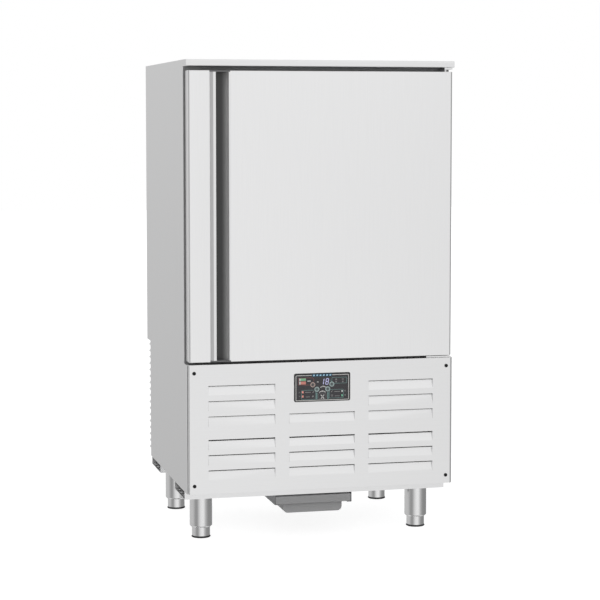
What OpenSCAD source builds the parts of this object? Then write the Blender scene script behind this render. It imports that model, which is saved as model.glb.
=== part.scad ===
// Blast chiller cabinet for ten trays: an insulated cold chamber with one full door,
// over a machine compartment behind a louvred panel, on four adjustable legs.
// Origin: middle of the footprint on the floor. +X right, +Y to the back, +Z up.

/* [Cabinet] */
// Overall width
body_w = 790; // [740:1:860]
// Overall depth, from the control bezel to the back
body_d = 720; // [690:1:840]
// Overall height on retracted feet
body_h = 1391; // [1330:1:1600]
// Sheet thickness of skins, panels and liner
skin_t = 1.2; // [0.8:0.1:2]
// Height of the front strip of the top panel
fascia_h = 19; // [14:1:30]
// Outer radius of the front strip's two folds
fold_r = 4; // [2.6:0.2:6]
// How far the door recess steps back from the front faces
recess_d = 52; // [48:1:60]
// How far the lower back steps in under the chamber
rear_step = 62; // [45:1:90]
// Height of the machine compartment, panel bottom to panel top
panel_h = 372; // [360:1:420]

/* [Cold chamber] */
// Insulated wall, skin to skin, at the sides and the back
wall_t = 60; // [54:1:64]
// Insulated roof, skin to skin
roof_t = 70; // [64:1:90]
// Insulated floor, skin to skin
floor_t = 55; // [50:1:60]
// Radius of the liner's long corners
liner_r = 20; // [8:1:30]

/* [Door] */
// Thickness of the door without its gasket
door_t = 46; // [42:1:46]
// Door edge to cabinet side, each side
door_side_gap = 5.6; // [5:0.1:10]
// Gap between the top strip and the door
door_top_gap = 12; // [10:0.5:14]
// Gap between the door and the lower panel
door_low_gap = 7; // [6.6:0.1:9]
// Radius of the door's long front edges
door_edge_r = 6; // [2:0.5:8]
// Width of the gasket
gasket_w = 16; // [12:1:17]
// Grip: distance of its outer edge from the door's free edge
grip_x = 61.7; // [45:0.1:90]
// Grip: width of the whole profile
grip_w = 59.5; // [56:0.5:80]
// Grip: depth of the profile
grip_d = 30; // [24:1:36]
// Grip: width of the lip beside the mouth
grip_lip = 18; // [14:0.5:20]
// Grip: radius of the rounded wall opposite the lip
grip_r = 16; // [10:1:18]
// Thickness of the grip's end caps
cap_t = 4; // [2:0.5:12]

/* [Hinges] */
// Pin diameter
pin_d = 10; // [8:0.5:12]
// Pin axis to the door's hinged edge
pin_edge = 15.2; // [14:0.1:17]
// Pin axis behind the door's front
pin_back = 22; // [20:0.5:24]
// Length of pin inside the door
pin_in = 19; // [12:1:30]
// Thickness of the top bracket's plate
bracket_t = 5.5; // [4:0.5:6]
// Gap between the door and the bottom bracket
bracket_gap = 2.5; // [1:0.1:3]
// Outer diameter of the bushes
bush_d = 16; // [14.5:0.5:18]

/* [Lower panel] */
// Side inset of the panel from the cabinet's side
panel_inset = 2.4; // [2:0.1:8]
// Radius of the panel's long front edges
panel_edge_r = 6; // [2:0.5:8]
// Depth of the panel's folded edges
panel_fold = 20; // [12:1:26]
// Length of one louvre
louvre_w = 197; // [150:1:210]
// Height of one louvre
louvre_h = 28; // [18:1:32]
// How far a louvre's top edge is pressed in
louvre_d = 7; // [4:0.5:14]
// Distance between louvre columns
louvre_col = 236.5; // [225:0.5:240]
// Distance between louvre rows in a group
louvre_row = 44; // [40:0.5:46]
// Panel top to the first louvre
louvre_top = 61; // [55:1:66]
// Panel top to the first louvre of the lower group
louvre_low = 216; // [210:1:222]
// Screw axis from the panel's side and top edges
screw_x = 17.6; // [14:0.1:22]
// Screw axis from the panel's top and bottom edges
screw_z = 24; // [18:0.5:26]
// Screw head diameter
screw_head_d = 10.5; // [8:0.5:12]
// Screw shank diameter
screw_d = 5; // [4:0.5:6]

/* [Control] */
// Width of the bezel
bezel_w = 167; // [140:1:180]
// Height of the bezel
bezel_h = 82.5; // [78:0.5:86]
// Width of the bezel's raised rim
bezel_rim = 6; // [4:0.5:8]
// How far the bezel stands out of the front faces
bezel_t = 2; // [1.6:0.1:4]
// Panel top to bezel top
bezel_top = 33.5; // [26:0.5:38]
// Depth of the control housing
housing_d = 38; // [30:1:46]
// Diameter of a key
key_d = 14.6; // [12:0.1:15.2]
// Travel of a key
key_travel = 0.8; // [0.4:0.1:1]

/* [Base and legs] */
// Floor to the beams on retracted feet
leg_h = 128; // [112:1:160]
// Height of the cross beams
beam_h = 27; // [20:1:40]
// Depth of the cross beams, front to back
beam_d = 163; // [120:1:170]
// Wall of the cross beams
beam_t = 2; // [1.5:0.1:4]
// Front beam set back from the front faces
beam_back = 69; // [60:1:90]
// Leg axis from the cabinet's side
leg_x = 66; // [50:1:90]
// Diameter of the leg tube
leg_d = 66; // [62:1:70]
// Diameter of the foot
foot_d = 53; // [38:1:54]
// Height of the foot left visible
foot_h = 32; // [25:1:50]
// Travel of the foot
foot_travel = 40; // [20:1:45]

/* [Drip tray] */
// Width of the tray over its rim
tray_w = 228; // [200:1:240]
// Length of the tray
tray_l = 340; // [300:1:380]
// Width of the tray's body
tray_body_w = 178; // [150:1:182]
// Depth of the turned-down rim
tray_rim_h = 22.5; // [16:0.5:26]
// Whole height of the tray
tray_h = 51; // [46:1:56]
// Radius along the tray's lower edges
tray_r = 14; // [8:1:20]
// Tray set back from the front faces
tray_back = 103; // [95:1:120]
// Gap between the beams and the tray's rim
tray_drop = 12; // [9:0.5:14]

/* [Inside] */
// Number of tray levels
tray_levels = 10; // [8:1:11]
// Clear width between tray slides
slide_gap = 605; // [600:1:606]
// Depth of the evaporator's space at the back of the chamber
evap_d = 182.8; // [178:0.1:200]
// Number of cuts in a coil's fin pack
fin_cuts = 30; // [20:1:40]
// Diameter of the evaporator fans
evap_fan_d = 250; // [200:1:260]
// Diameter of the condenser fan
cond_fan_d = 254; // [200:1:260]
// Diameter of the compressor shell
comp_d = 180; // [150:1:190]
// Height of the compressor shell
comp_h = 250; // [200:1:270]

/* [Hidden] */
$fn = 48;

steel = "#d9dadb";
steel_side = "#bcbdbe";
dark = "#2a2a2c";
over = 1;                 // extra length of a cutting tool past the face that it cuts
run = 0.05;               // running clearance of pins and shafts, on the radius
seat = 0.3;               // gap left where curved or sliding faces meet

// planes across the cabinet
side_x = body_w / 2;
in_x = side_x - skin_t;
// planes along the cabinet, front to back
front_y = -body_d / 2;
face_y = front_y + bezel_t;
back_y = body_d / 2;
frame_y = face_y + recess_d;
step_y = back_y - rear_step;
// planes up the cabinet
base_z = leg_h + beam_h;
panel_z = base_z + panel_h;
deck_drop = 4;
deck_z = panel_z - deck_drop;
fascia_z = body_h - fascia_h;
door_z0 = panel_z + door_low_gap;
door_z1 = fascia_z - door_top_gap;
door_h = door_z1 - door_z0;
cav_x = side_x - wall_t;
cav_y = back_y - wall_t;
cav_z0 = deck_z + floor_t;
cav_z1 = body_h - roof_t;
cav_h = cav_z1 - cav_z0;
// door
door_x = side_x - door_side_gap;
door_w = 2 * door_x;
door_back = face_y + door_t;
pin_x = door_x - pin_edge;
pin_y = face_y + pin_back;
grip_x0 = -door_x + grip_x;
grip_x1 = grip_x0 + grip_w;
gasket_side = 26;         // door edge to gasket at the sides, clear of the pins
gasket_end = 14;          // door edge to gasket at the top and bottom
// base
beam_y0 = face_y + beam_back;
rear_beam_y0 = step_y - beam_d;
leg_cx = side_x - leg_x;
leg_ys = [beam_y0 + beam_d / 2, rear_beam_y0 + beam_d / 2];
// control
bezel_z1 = panel_z - bezel_top;
bezel_z = bezel_z1 - bezel_h / 2;
face_w = bezel_w - 2 * bezel_rim;
face_h = bezel_h - 2 * bezel_rim;
face_t = bezel_t * 0.7;
key_spots = [[-28.3, 7.9], [-16.1, -5.7], [16.1, -5.7], [28.3, 7.9]];
key_hole_d = key_d + 0.4;
key_sink = 0.25;          // key fronts behind the bezel's front
key_flange_t = 0.8;
// machine compartment
pan_z = base_z + skin_t;

// a rectangle with four round corners, centred
module rounded_rect(w, h, r) {
    for (x = [-1, 1], y = [-1, 1])
        translate([x * (w / 2 - r), y * (h / 2 - r)]) circle(r);
    square([w - 2 * r, h], center = true);
    square([w, h - 2 * r], center = true);
}

// plan section of a pan from y0 back to y1, with its two front edges rounded
module pan_plan(x1, y0, y1, r) {
    for (s = [-1, 1]) translate([s * (x1 - r), y0 + r]) circle(r);
    square_from([-x1 + r, y0], [x1 - r, y1]);
    square_from([-x1, y0 + r], [x1, y1]);
}

// a block given by its two corners
module block(low, high) {
    translate(low) cube(high - low);
}

// draws an XZ outline and gives it a depth from y0 to y1
module plate_y(y0, y1) {
    translate([0, y1, 0]) rotate([90, 0, 0]) linear_extrude(y1 - y0) children();
}

// draws a YZ outline and gives it a width from x0 to x1
module plate_x(x0, x1) {
    translate([x0, 0, 0]) rotate([90, 0, 90]) linear_extrude(x1 - x0) children();
}

// a pressed louvre on a sheet whose outer face is y = 0 and that fills y = 0 to skin_t:
// the hood leaves the sheet at z = 0 and stands depth behind it at z = height
module louvre_hood(width, height, depth) {
    slope_t = skin_t * sqrt(height * height + depth * depth) / height;
    difference() {
        plate_x(-width / 2, width / 2)
            polygon([[0, -over], [0, height], [depth + slope_t, height], [slope_t, 0],
                [slope_t, -over]]);
        plate_x(-width / 2 + skin_t, width / 2 - skin_t)
            polygon([[-over, 0], [0, 0], [depth, height], [depth, height + over],
                [-over, height + over]]);
    }
}

// ---- casing ----

// YZ outline of the top panel's front with its two folds, back to y1
module fascia_outline(inset, y1) {
    r = fold_r - inset;
    y0 = face_y + inset;
    z0 = fascia_z + inset;
    z1 = body_h - inset;
    for (z = [z0 + r, z1 - r]) translate([y0 + r, z]) circle(r);
    square_from([y0, z0 + r], [y0 + r, z1 - r]);
    square_from([y0 + r, z0], [y1, z1]);
}

module side_outline() {
    fold_y = face_y + panel_edge_r + 2;
    polygon([[fold_y, base_z], [step_y, base_z], [step_y, deck_z], [back_y, deck_z],
        [back_y, body_h], [frame_y, body_h], [frame_y, panel_z], [fold_y, panel_z]]);
    fascia_outline(0, frame_y + over);
}

module left_side_panel() {
    color(steel_side) plate_x(-side_x, -in_x) side_outline();
}

module right_side_panel() {
    color(steel_side) plate_x(in_x, side_x) side_outline();
}

// top sheet, folded down into the front strip and back under it to the front frame
module top_panel() {
    color(steel) plate_x(-in_x, in_x) difference() {
        fascia_outline(0, back_y);
        fascia_outline(skin_t, back_y + over);
        square_from([frame_y + skin_t, fascia_z - over], [back_y + over, body_h - skin_t]);
    }
}

module back_panel() {
    color(steel) block([-in_x, back_y - skin_t, deck_z], [in_x, back_y, body_h - skin_t]);
}

module deck() {
    color(steel)
        block([-in_x, face_y + panel_fold + 2, deck_z], [in_x, back_y - skin_t, deck_z + skin_t]);
}

module front_frame() {
    color(steel) plate_y(frame_y, frame_y + skin_t) difference() {
        translate([-in_x, deck_z + skin_t])
            square([2 * in_x, fascia_z - deck_z - skin_t]);
        translate([0, (cav_z0 + cav_z1) / 2]) rounded_rect(2 * cav_x, cav_h, liner_r);
    }
}

module liner_outline(grow) {
    translate([0, (cav_z0 + cav_z1) / 2])
        rounded_rect(2 * (cav_x + grow), cav_h + 2 * grow, liner_r + grow);
}

module inner_liner() {
    color(steel) difference() {
        plate_y(frame_y + skin_t, cav_y) liner_outline(skin_t);
        plate_y(frame_y, cav_y - skin_t) liner_outline(0);
    }
}

module insulation() {
    color("#e8dfae") difference() {
        block([-in_x, frame_y + skin_t, deck_z + skin_t],
            [in_x, back_y - skin_t, body_h - skin_t]);
        plate_y(frame_y - over, cav_y) liner_outline(skin_t);
    }
}

// ---- louvred cover at the lower back ----

cover_inset = 11;
cover_depth = rear_step - 10;
cover_lap = 8;
hood_d = 8.5;
hood_h = 10;
hood_row = 20.6;
hood_side_w = 38;
hood_back_w = 290;
hood_rows = floor((panel_h - 40) / hood_row) + 1;

module hood_rows_at() {
    for (i = [0:hood_rows - 1])
        translate([0, 0, base_z + 22 + i * hood_row]) children();
}

// an outward hood that opens downwards, with the slot behind it when slot is true
module rear_hood(width, depth, slot) {
    if (slot)
        translate([-width / 2 + skin_t, -over, hood_h * 0.1])
            cube([width - 2 * skin_t, skin_t + 1.2 * over, hood_h * 0.6]);
    else
        translate([0, 0, hood_h]) mirror([0, 0, 1]) louvre_hood(width, hood_h, depth);
}

module rear_hoods(x1, y1, slot) {
    hood_y = (step_y + y1) / 2 + 1;
    hood_rows_at() for (s = [-1, 1]) {
        translate([s * hood_back_w * 0.6, y1 - skin_t, 0])
            rear_hood(hood_back_w, hood_d * 0.8, slot);
        translate([s * (x1 - skin_t), hood_y, 0]) rotate([0, 0, s * -90])
            rear_hood(hood_side_w, hood_d, slot);
    }
}

// folded cover: flanges against the side panels, two returns with short louvres and a back
// with long ones
module rear_cover() {
    x1 = side_x - cover_inset;
    y0 = step_y - cover_lap;
    y1 = step_y + cover_depth;
    color(steel_side) difference() {
        union() {
            difference() {
                union() {
                    block([-x1, y0, base_z], [x1, y1, deck_z]);
                    block([-in_x, y0, base_z], [in_x, y0 + skin_t, deck_z]);
                }
                block([-x1 + skin_t, y0 - over, base_z - over],
                    [x1 - skin_t, y1 - skin_t, deck_z + over]);
            }
            rear_hoods(x1, y1, false);
        }
        rear_hoods(x1, y1, true);
    }
}

// ---- base ----

module base_pan() {
    fold = 16;
    notch = 12;
    y0 = face_y + panel_fold + 2;
    y1 = step_y - cover_lap - seat;
    color(steel) difference() {
        block([-in_x, y0, base_z], [in_x, y1, base_z + fold]);
        block([-in_x + skin_t, y0 + skin_t, pan_z],
            [in_x - skin_t, y1 - skin_t, base_z + fold + over]);
        for (s = [-1, 1]) translate([s * in_x, y0 - over, pan_z])
            translate([-post_w - notch, 0, 0]) cube([2 * (post_w + notch), notch + over, fold]);
    }
}

module base_beams() {
    beam_x = side_x - 3.4;
    color(steel) for (y = [beam_y0, rear_beam_y0]) difference() {
        block([-beam_x, y, leg_h], [beam_x, y + beam_d, base_z]);
        block([-beam_x - over, y + beam_t, leg_h + beam_t],
            [beam_x + over, y + beam_d - beam_t, base_z - beam_t]);
        for (s = [-1, 1], i = [0:3])
            translate([s * (beam_x - 9), y + beam_d * (i + 0.5) / 4, leg_h - over])
                cylinder(d = 9, h = beam_t + 2 * over);
    }
}

post_w = 30;
post_d = 27;

// upright channels behind the panel's side edges, which its screws go into
module front_posts() {
    post_t = 1.5;
    x_in = side_x - panel_inset - max(panel_edge_r, skin_t + 0.5);
    y0 = face_y + skin_t;
    color(steel_side) for (s = [-1, 1]) difference() {
        translate([0, 0, pan_z]) linear_extrude(deck_z - pan_z)
            polygon([[s * x_in, y0], [s * (x_in - post_w), y0],
                [s * (x_in - post_w), y0 + post_d], [s * in_x, y0 + post_d],
                [s * in_x, y0 + post_d - post_t], [s * (x_in - post_w + post_t), y0 + post_d - post_t],
                [s * (x_in - post_w + post_t), y0 + post_t], [s * x_in, y0 + post_t]]);
        for (z = screw_zs) translate([s * screw_cx, y0 - over, z])
            rotate([-90, 0, 0]) cylinder(r = screw_d / 2 + run, h = post_t + 2 * over);
    }
}

leg_spots = [[-leg_cx, leg_ys[0]], [leg_cx, leg_ys[0]], [-leg_cx, leg_ys[1]], [leg_cx, leg_ys[1]]];
foot_r = foot_d / 2;
leg_r = leg_d / 2;
pad_h = 5;
stud_r = 6;
neck_h = 14;
cup_top = leg_h - 21;

// tube with a drawn-in lower end that guides the foot, and a stud that the foot turns on
module leg_tubes() {
    wall = 2;
    lead = 3.5;
    plate = 3;
    color(steel) for (p = leg_spots) translate(p) rotate_extrude($fn = 64) {
        difference() {
            polygon([[0, leg_h], [leg_r, leg_h], [leg_r, foot_h + lead], [leg_r - lead, foot_h],
                [0, foot_h]]);
            translate([0, foot_h - over]) square([foot_r + run, neck_h + 2 * over]);
            translate([0, foot_h + neck_h])
                square([leg_r - wall, leg_h - plate - foot_h - neck_h]);
        }
        square_from([0, pad_h + 16], [stud_r, leg_h - plate / 2]);
    }
}

// cup with a threaded plate at its top, which climbs on the leg's stud
module foot(i) {
    wall = 2;
    nut = 6;
    color(steel) translate(leg_spots[i]) rotate_extrude($fn = 64) {
        polygon([[0, pad_h], [foot_r - 0.6, pad_h], [foot_r, pad_h + 0.6], [foot_r, cup_top],
            [stud_r + run, cup_top], [stud_r + run, cup_top - nut], [foot_r - wall, cup_top - nut],
            [foot_r - wall, pad_h + 3], [0, pad_h + 3]]);
    }
}

module square_from(low, high) {
    translate(low) square(high - low);
}

module pad(i) {
    flare = 1.5;
    color(dark) translate(leg_spots[i]) rotate_extrude($fn = 64)
        polygon([[0, 0], [foot_r, 0], [foot_r + flare, 1.2], [foot_r + flare, 2.8],
            [foot_r - 0.6, pad_h], [0, pad_h]]);
}

// ---- lower front panel ----

screw_cx = side_x - panel_inset - screw_x;
screw_zs = [base_z + screw_z, panel_z - screw_z];
// the middle column leaves its two upper rows to the control
louvre_cells = [for (col = [-1:1], low = [0, 1], row = [0:2])
    if (low == 1 || col != 0 || row == 2)
        [col * louvre_col, panel_z - (low == 1 ? louvre_low : louvre_top) - row * louvre_row]];

module lower_front_panel() {
    x1 = side_x - panel_inset;
    y1 = face_y + panel_fold;
    color(steel) union() {
        difference() {
            translate([0, 0, base_z]) linear_extrude(panel_h)
                pan_plan(x1, face_y, y1, panel_edge_r);
            translate([0, 0, base_z + skin_t]) linear_extrude(panel_h - 2 * skin_t)
                pan_plan(x1 - skin_t, face_y + skin_t, y1 + over, panel_edge_r - skin_t);
            plate_y(face_y - over, face_y + skin_t + over) {
                for (c = louvre_cells)
                    translate([c[0] - louvre_w / 2, c[1] - louvre_h]) square([louvre_w, louvre_h]);
                translate([0, bezel_z]) square([housing_w + 0.4, housing_h + 0.4], center = true);
                for (s = [-1, 1], z = screw_zs) translate([s * screw_cx, z])
                    circle(r = screw_d / 2 + 0.25);
            }
        }
        for (c = louvre_cells) translate([c[0], face_y, c[1] - louvre_h])
            louvre_hood(louvre_w, louvre_h, louvre_d);
    }
}

module panel_screws() {
    head_h = bezel_t;
    color(dark) for (s = [-1, 1], z = screw_zs) translate([s * screw_cx, face_y, z])
        rotate([90, 0, 0]) {
            cylinder(d1 = screw_head_d, d2 = screw_head_d * 0.6, h = head_h);
            translate([0, 0, -9]) cylinder(d = screw_d, h = 9);
        }
}

// ---- control ----

housing_w = face_w - 6;
housing_h = face_h - 6;

module control_bezel() {
    color(dark) translate([0, 0, bezel_z]) plate_y(front_y, face_y) difference() {
        rounded_rect(bezel_w, bezel_h, 5);
        rounded_rect(face_w, face_h, 3);
    }
}

module control_face() {
    color("#3c3a3e") translate([0, 0, bezel_z]) plate_y(face_y - face_t, face_y) difference() {
        rounded_rect(face_w, face_h, 3);
        for (k = key_spots) translate(k) circle(d = key_hole_d);
    }
}

// open box behind the face, passed through the panel
module control_housing() {
    wall = 2;
    color(dark) translate([0, 0, bezel_z]) difference() {
        plate_y(face_y, face_y + housing_d) square([housing_w, housing_h], center = true);
        plate_y(face_y - over, face_y + housing_d - wall)
            square([housing_w - 2 * wall, housing_h - 2 * wall], center = true);
    }
}

// circuit board with a small switch behind every key
module control_board() {
    board_y = face_y + 4;
    board_t = 1.6;
    switch_y = face_y + 0.1 + key_flange_t + key_travel + 0.1;
    color("#1f5a36") translate([0, 0, bezel_z]) union() {
        plate_y(board_y, board_y + board_t)
            square([housing_w - 4, housing_h - 4], center = true);
        for (k = key_spots) translate([k[0], board_y + board_t / 2, k[1]]) rotate([90, 0, 0])
            cylinder(d = 6, h = board_y + board_t / 2 - switch_y, $fn = 24);
    }
}

// a key with the flange that keeps it behind the face
module key(i) {
    spot = key_spots[i];
    flange_y = face_y + 0.1;
    flange_d = key_d + 3;
    color("#9aa7a5") translate([spot[0], 0, bezel_z + spot[1]]) rotate([90, 0, 0]) union() {
        translate([0, 0, -flange_y - key_flange_t]) cylinder(d = flange_d, h = key_flange_t);
        translate([0, 0, -flange_y - key_flange_t / 2])
            cylinder(d = key_d, h = flange_y + key_flange_t / 2 - front_y - key_sink);
    }
}

// ---- door ----

module door_outline(grow) {
    rounded_rect(door_w + 2 * grow, door_h + 2 * grow, 1);
}

// the grip's whole section, seen from above
module grip_envelope(gap) {
    translate([grip_x0 - gap, face_y - over])
        square([grip_w + 2 * gap, grip_d + over + gap]);
}

// the door's plan section
module door_plan(inset) {
    pan_plan(door_x - inset, face_y + inset, door_back + (inset > 0 ? over : 0),
        max(door_edge_r - inset, 0.4));
}

module door_skin() {
    color(steel) difference() {
        translate([0, 0, door_z0]) linear_extrude(door_h) difference() {
            door_plan(0);
            grip_envelope(0.1);
        }
        translate([0, 0, door_z0 + skin_t]) linear_extrude(door_h - 2 * skin_t) difference() {
            door_plan(skin_t);
            grip_envelope(0.1 + skin_t);
        }
        for (z = [door_z0 - over, door_z1 - skin_t - over]) translate([pin_x, pin_y, z])
            cylinder(r = bush_d / 2 + run, h = skin_t + 2 * over);
    }
}

// inner skin, with the raised pad that stands into the chamber's mouth
module door_inner_panel() {
    pad_x = cav_x - 12;
    pad_d = recess_d - door_t + 3;
    mid_z = (cav_z0 + cav_z1) / 2;
    pad_half = cav_h / 2 - 12;
    x1 = door_x - skin_t;
    color(steel) difference() {
        union() {
            block([-x1, door_back - skin_t, door_z0 + skin_t],
                [x1, door_back, door_z1 - skin_t]);
            translate([0, 0, mid_z]) plate_y(door_back - skin_t, door_back + pad_d)
                rounded_rect(2 * pad_x, 2 * pad_half, liner_r);
        }
        translate([0, 0, mid_z]) plate_y(door_back - 2 * skin_t, door_back + pad_d - skin_t)
            rounded_rect(2 * (pad_x - skin_t), 2 * (pad_half - skin_t), liner_r - skin_t);
    }
}

module door_foam() {
    pad_x = cav_x - 12 - skin_t;
    pad_half = cav_h / 2 - 12 - skin_t;
    pad_d = recess_d - door_t + 3 - skin_t;
    color("#e8dfae") difference() {
        union() {
            translate([0, 0, door_z0 + skin_t]) linear_extrude(door_h - 2 * skin_t)
                intersection() {
                    door_plan(skin_t);
                    square_from([-door_x, face_y], [door_x, door_back - skin_t]);
                }
            translate([0, 0, (cav_z0 + cav_z1) / 2])
                plate_y(door_back - 2 * skin_t, door_back + pad_d)
                rounded_rect(2 * pad_x, 2 * pad_half, liner_r - skin_t);
        }
        translate([0, 0, door_z0]) linear_extrude(door_h) grip_envelope(0.1 + skin_t);
        for (z = [door_z0, door_z1 - bush_in]) translate([pin_x, pin_y, z])
            cylinder(r = bush_d / 2 + run, h = bush_in);
    }
}

// a soft frame: wide foot on the inner skin, narrower nose towards the front frame
module door_gasket() {
    outer_w = door_w - 2 * gasket_side;
    outer_h = door_h - 2 * gasket_end;
    seal_y = frame_y - seat;
    mid_y = (door_back + seal_y) / 2;
    nose = 3;
    color("#8b8d90") translate([0, 0, (door_z0 + door_z1) / 2]) {
        plate_y(door_back, mid_y) difference() {
            rounded_rect(outer_w, outer_h, 6);
            rounded_rect(outer_w - 2 * gasket_w, outer_h - 2 * gasket_w, 2);
        }
        plate_y(mid_y, seal_y) difference() {
            rounded_rect(outer_w - 2 * nose, outer_h - 2 * nose, 5);
            rounded_rect(outer_w - 2 * gasket_w + 2 * nose, outer_h - 2 * gasket_w + 2 * nose, 3);
        }
    }
}

// section of the hollow that the fingers go into, behind the lip
module grip_hollow() {
    wall = 4;
    lip_t = 5;
    deep_y = face_y + grip_d - 3;
    right_x = grip_x1 - wall;
    square_from([grip_x0 + wall, face_y + lip_t], [right_x - grip_r, deep_y]);
    square_from([grip_x0 + grip_lip, face_y - over], [right_x, deep_y - grip_r]);
    translate([right_x - grip_r, deep_y - grip_r]) circle(grip_r);
    square_from([grip_x0 + grip_lip, face_y - over], [right_x - grip_r, face_y + lip_t + over]);
}

module grip_profile() {
    ramp_w = 10.5;
    ramp_d = 5;
    color(steel) translate([0, 0, door_z0 + cap_t]) linear_extrude(door_h - 2 * cap_t)
        difference() {
            square_from([grip_x0, face_y], [grip_x1, face_y + grip_d]);
            grip_hollow();
            polygon([[grip_x0 - over, face_y - over], [grip_x0 + ramp_w + 1, face_y - over],
                [grip_x0 + ramp_w, face_y], [grip_x0 + 1.2, face_y + ramp_d],
                [grip_x0 - over, face_y + ramp_d]]);
        }
}

module grip_end_caps() {
    back = 1.5;
    color(dark) for (z = [door_z0, door_z1 - cap_t]) translate([0, 0, z])
        linear_extrude(cap_t) square_from([grip_x0, face_y + back], [grip_x1, face_y + grip_d]);
}

// ---- hinges ----

bush_in = pin_in + 3;
bracket_out = 14;         // plate in front of the pin axis

module hinge_bracket_bottom() {
    z1 = door_z0 - bracket_gap;
    lift = panel_z + z_over_fold;
    arm = 58;
    y_fold = face_y + panel_fold + 2;
    color(steel) difference() {
        plate_x(pin_x - arm, pin_x + pin_edge)
            polygon([[pin_y - bracket_out, lift], [y_fold, lift], [y_fold, deck_z + skin_t],
                [frame_y, deck_z + skin_t], [frame_y, z1], [pin_y - bracket_out, z1]]);
        translate([pin_x, pin_y, lift - over])
            cylinder(r = pin_d / 2 + run, h = z1 - lift + 2 * over);
    }
}
z_over_fold = 0.4;

module hinge_bracket_top() {
    arm = 6.5;
    color(steel) difference() {
        block([pin_x - arm, pin_y - bracket_out, fascia_z - bracket_t],
            [pin_x + pin_edge + 2, frame_y, fascia_z]);
        translate([pin_x, pin_y, fascia_z - bracket_t - over])
            cylinder(r = pin_d / 2 + run, h = bracket_t + 2 * over);
    }
}

module hinge_pins() {
    color("#8f9193") {
        translate([pin_x, pin_y, panel_z + z_over_fold])
            cylinder(d = pin_d, h = door_z0 + pin_in - panel_z - z_over_fold);
        translate([pin_x, pin_y, door_z1 - pin_in])
            cylinder(d = pin_d, h = fascia_z - door_z1 + pin_in);
    }
}

module hinge_bushes() {
    flange_t = 0.7;
    low_t = bracket_gap - seat;
    color("#e6e6e0") {
        translate([pin_x, pin_y, door_z0 - low_t]) difference() {
            union() {
                cylinder(d = bush_d + 4, h = low_t);
                cylinder(d = bush_d, h = bush_in + low_t);
            }
            translate([0, 0, -over]) cylinder(r = pin_d / 2 + run, h = bush_in + low_t + 2 * over);
        }
        translate([pin_x, pin_y, door_z1 - bush_in]) difference() {
            union() {
                cylinder(d = bush_d, h = bush_in + flange_t);
                translate([0, 0, bush_in]) cylinder(d = bush_d + 4, h = flange_t);
            }
            translate([0, 0, -over]) cylinder(r = pin_d / 2 + run, h = bush_in + flange_t + 2 * over);
        }
    }
}

// ---- drip tray ----

tray_y0 = face_y + tray_back;
tray_z1 = leg_h - tray_drop;
tray_z0 = tray_z1 - tray_h;
tray_t = 1.5;

// XZ outline of the tray's body, round along its two lower edges
module tray_outline(grow, top) {
    w = tray_body_w + 2 * grow;
    r = tray_r + grow;
    z0 = tray_z0 - grow;
    for (s = [-1, 1]) translate([s * (w / 2 - r), z0 + r]) circle(r);
    square_from([-w / 2 + r, z0], [w / 2 - r, top]);
    square_from([-w / 2, z0 + r], [w / 2, top]);
}

module drip_tray() {
    wall_y = 10;
    color("#8e8f92") difference() {
        union() {
            plate_y(tray_y0 + wall_y, tray_y0 + tray_l) tray_outline(0, tray_z1);
            difference() {
                block([-tray_w / 2, tray_y0, tray_z1 - tray_rim_h],
                    [tray_w / 2, tray_y0 + tray_l, tray_z1]);
                block([-tray_w / 2 + tray_t, tray_y0 + tray_t, tray_z1 - tray_rim_h - over],
                    [tray_w / 2 - tray_t, tray_y0 + tray_l + over, tray_z1 - tray_t]);
            }
        }
        plate_y(tray_y0 + wall_y + tray_t, tray_y0 + tray_l - tray_t)
            tray_outline(-tray_t, tray_z1 + over);
    }
}

// hanging angles that carry the rim's lower edge, fixed under both beams
module tray_rails() {
    x0 = tray_w / 2 + 1;
    z0 = tray_z1 - tray_rim_h - seat - tray_t;
    y1 = rear_beam_y0 + 25;
    color("#6d6e70") for (s = [-1, 1]) plate_y(tray_y0, y1)
        polygon([[s * (x0 - 12), z0], [s * (x0 + tray_t), z0], [s * (x0 + tray_t), leg_h - tray_t],
            [s * (x0 + 16), leg_h - tray_t], [s * (x0 + 16), leg_h], [s * x0, leg_h],
            [s * x0, z0 + tray_t], [s * (x0 - 12), z0 + tray_t]]);
}

// ---- tray rack ----

evap_y = cav_y - skin_t - evap_d;
rack_gap = 16;            // rack to the front frame and to the evaporator's cover
rack_y0 = frame_y + rack_gap;
rack_d = evap_y - rack_gap - rack_y0;
slide_top = cav_z1 - 30;
slide_low = cav_z0 + 32;
slide_step = (slide_top - slide_low) / tray_levels;
upright_d = 24;
slide_x1 = cav_x - skin_t - 12;

// U channels fixed upright against the chamber's walls
module rack_uprights() {
    end = liner_r + 2;
    color(steel) for (s = [-1, 1], y = [rack_y0 + 40, rack_y0 + rack_d - 40 - upright_d])
        translate([0, y, cav_z0 + end]) linear_extrude(cav_h - 2 * end) difference() {
            square_from([min(s * cav_x, s * slide_x1), 0],
                [max(s * cav_x, s * slide_x1), upright_d]);
            square_from([min(s * (cav_x + over), s * (slide_x1 + 1.5)), 1.5],
                [max(s * (cav_x + over), s * (slide_x1 + 1.5)), upright_d - 1.5]);
        }
}

// one angle per level and side, screwed to the uprights
module tray_slides() {
    slide_t = 1.5;
    color(steel) for (s = [-1, 1], i = [0:tray_levels - 1])
        translate([0, 0, slide_low + i * slide_step])
            plate_y(rack_y0, rack_y0 + rack_d)
            polygon([[s * slide_gap / 2, 0], [s * slide_x1, 0], [s * slide_x1, 22],
                [s * (slide_x1 - slide_t), 22], [s * (slide_x1 - slide_t), slide_t],
                [s * slide_gap / 2, slide_t]]);
}

// ---- evaporator ----

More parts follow.
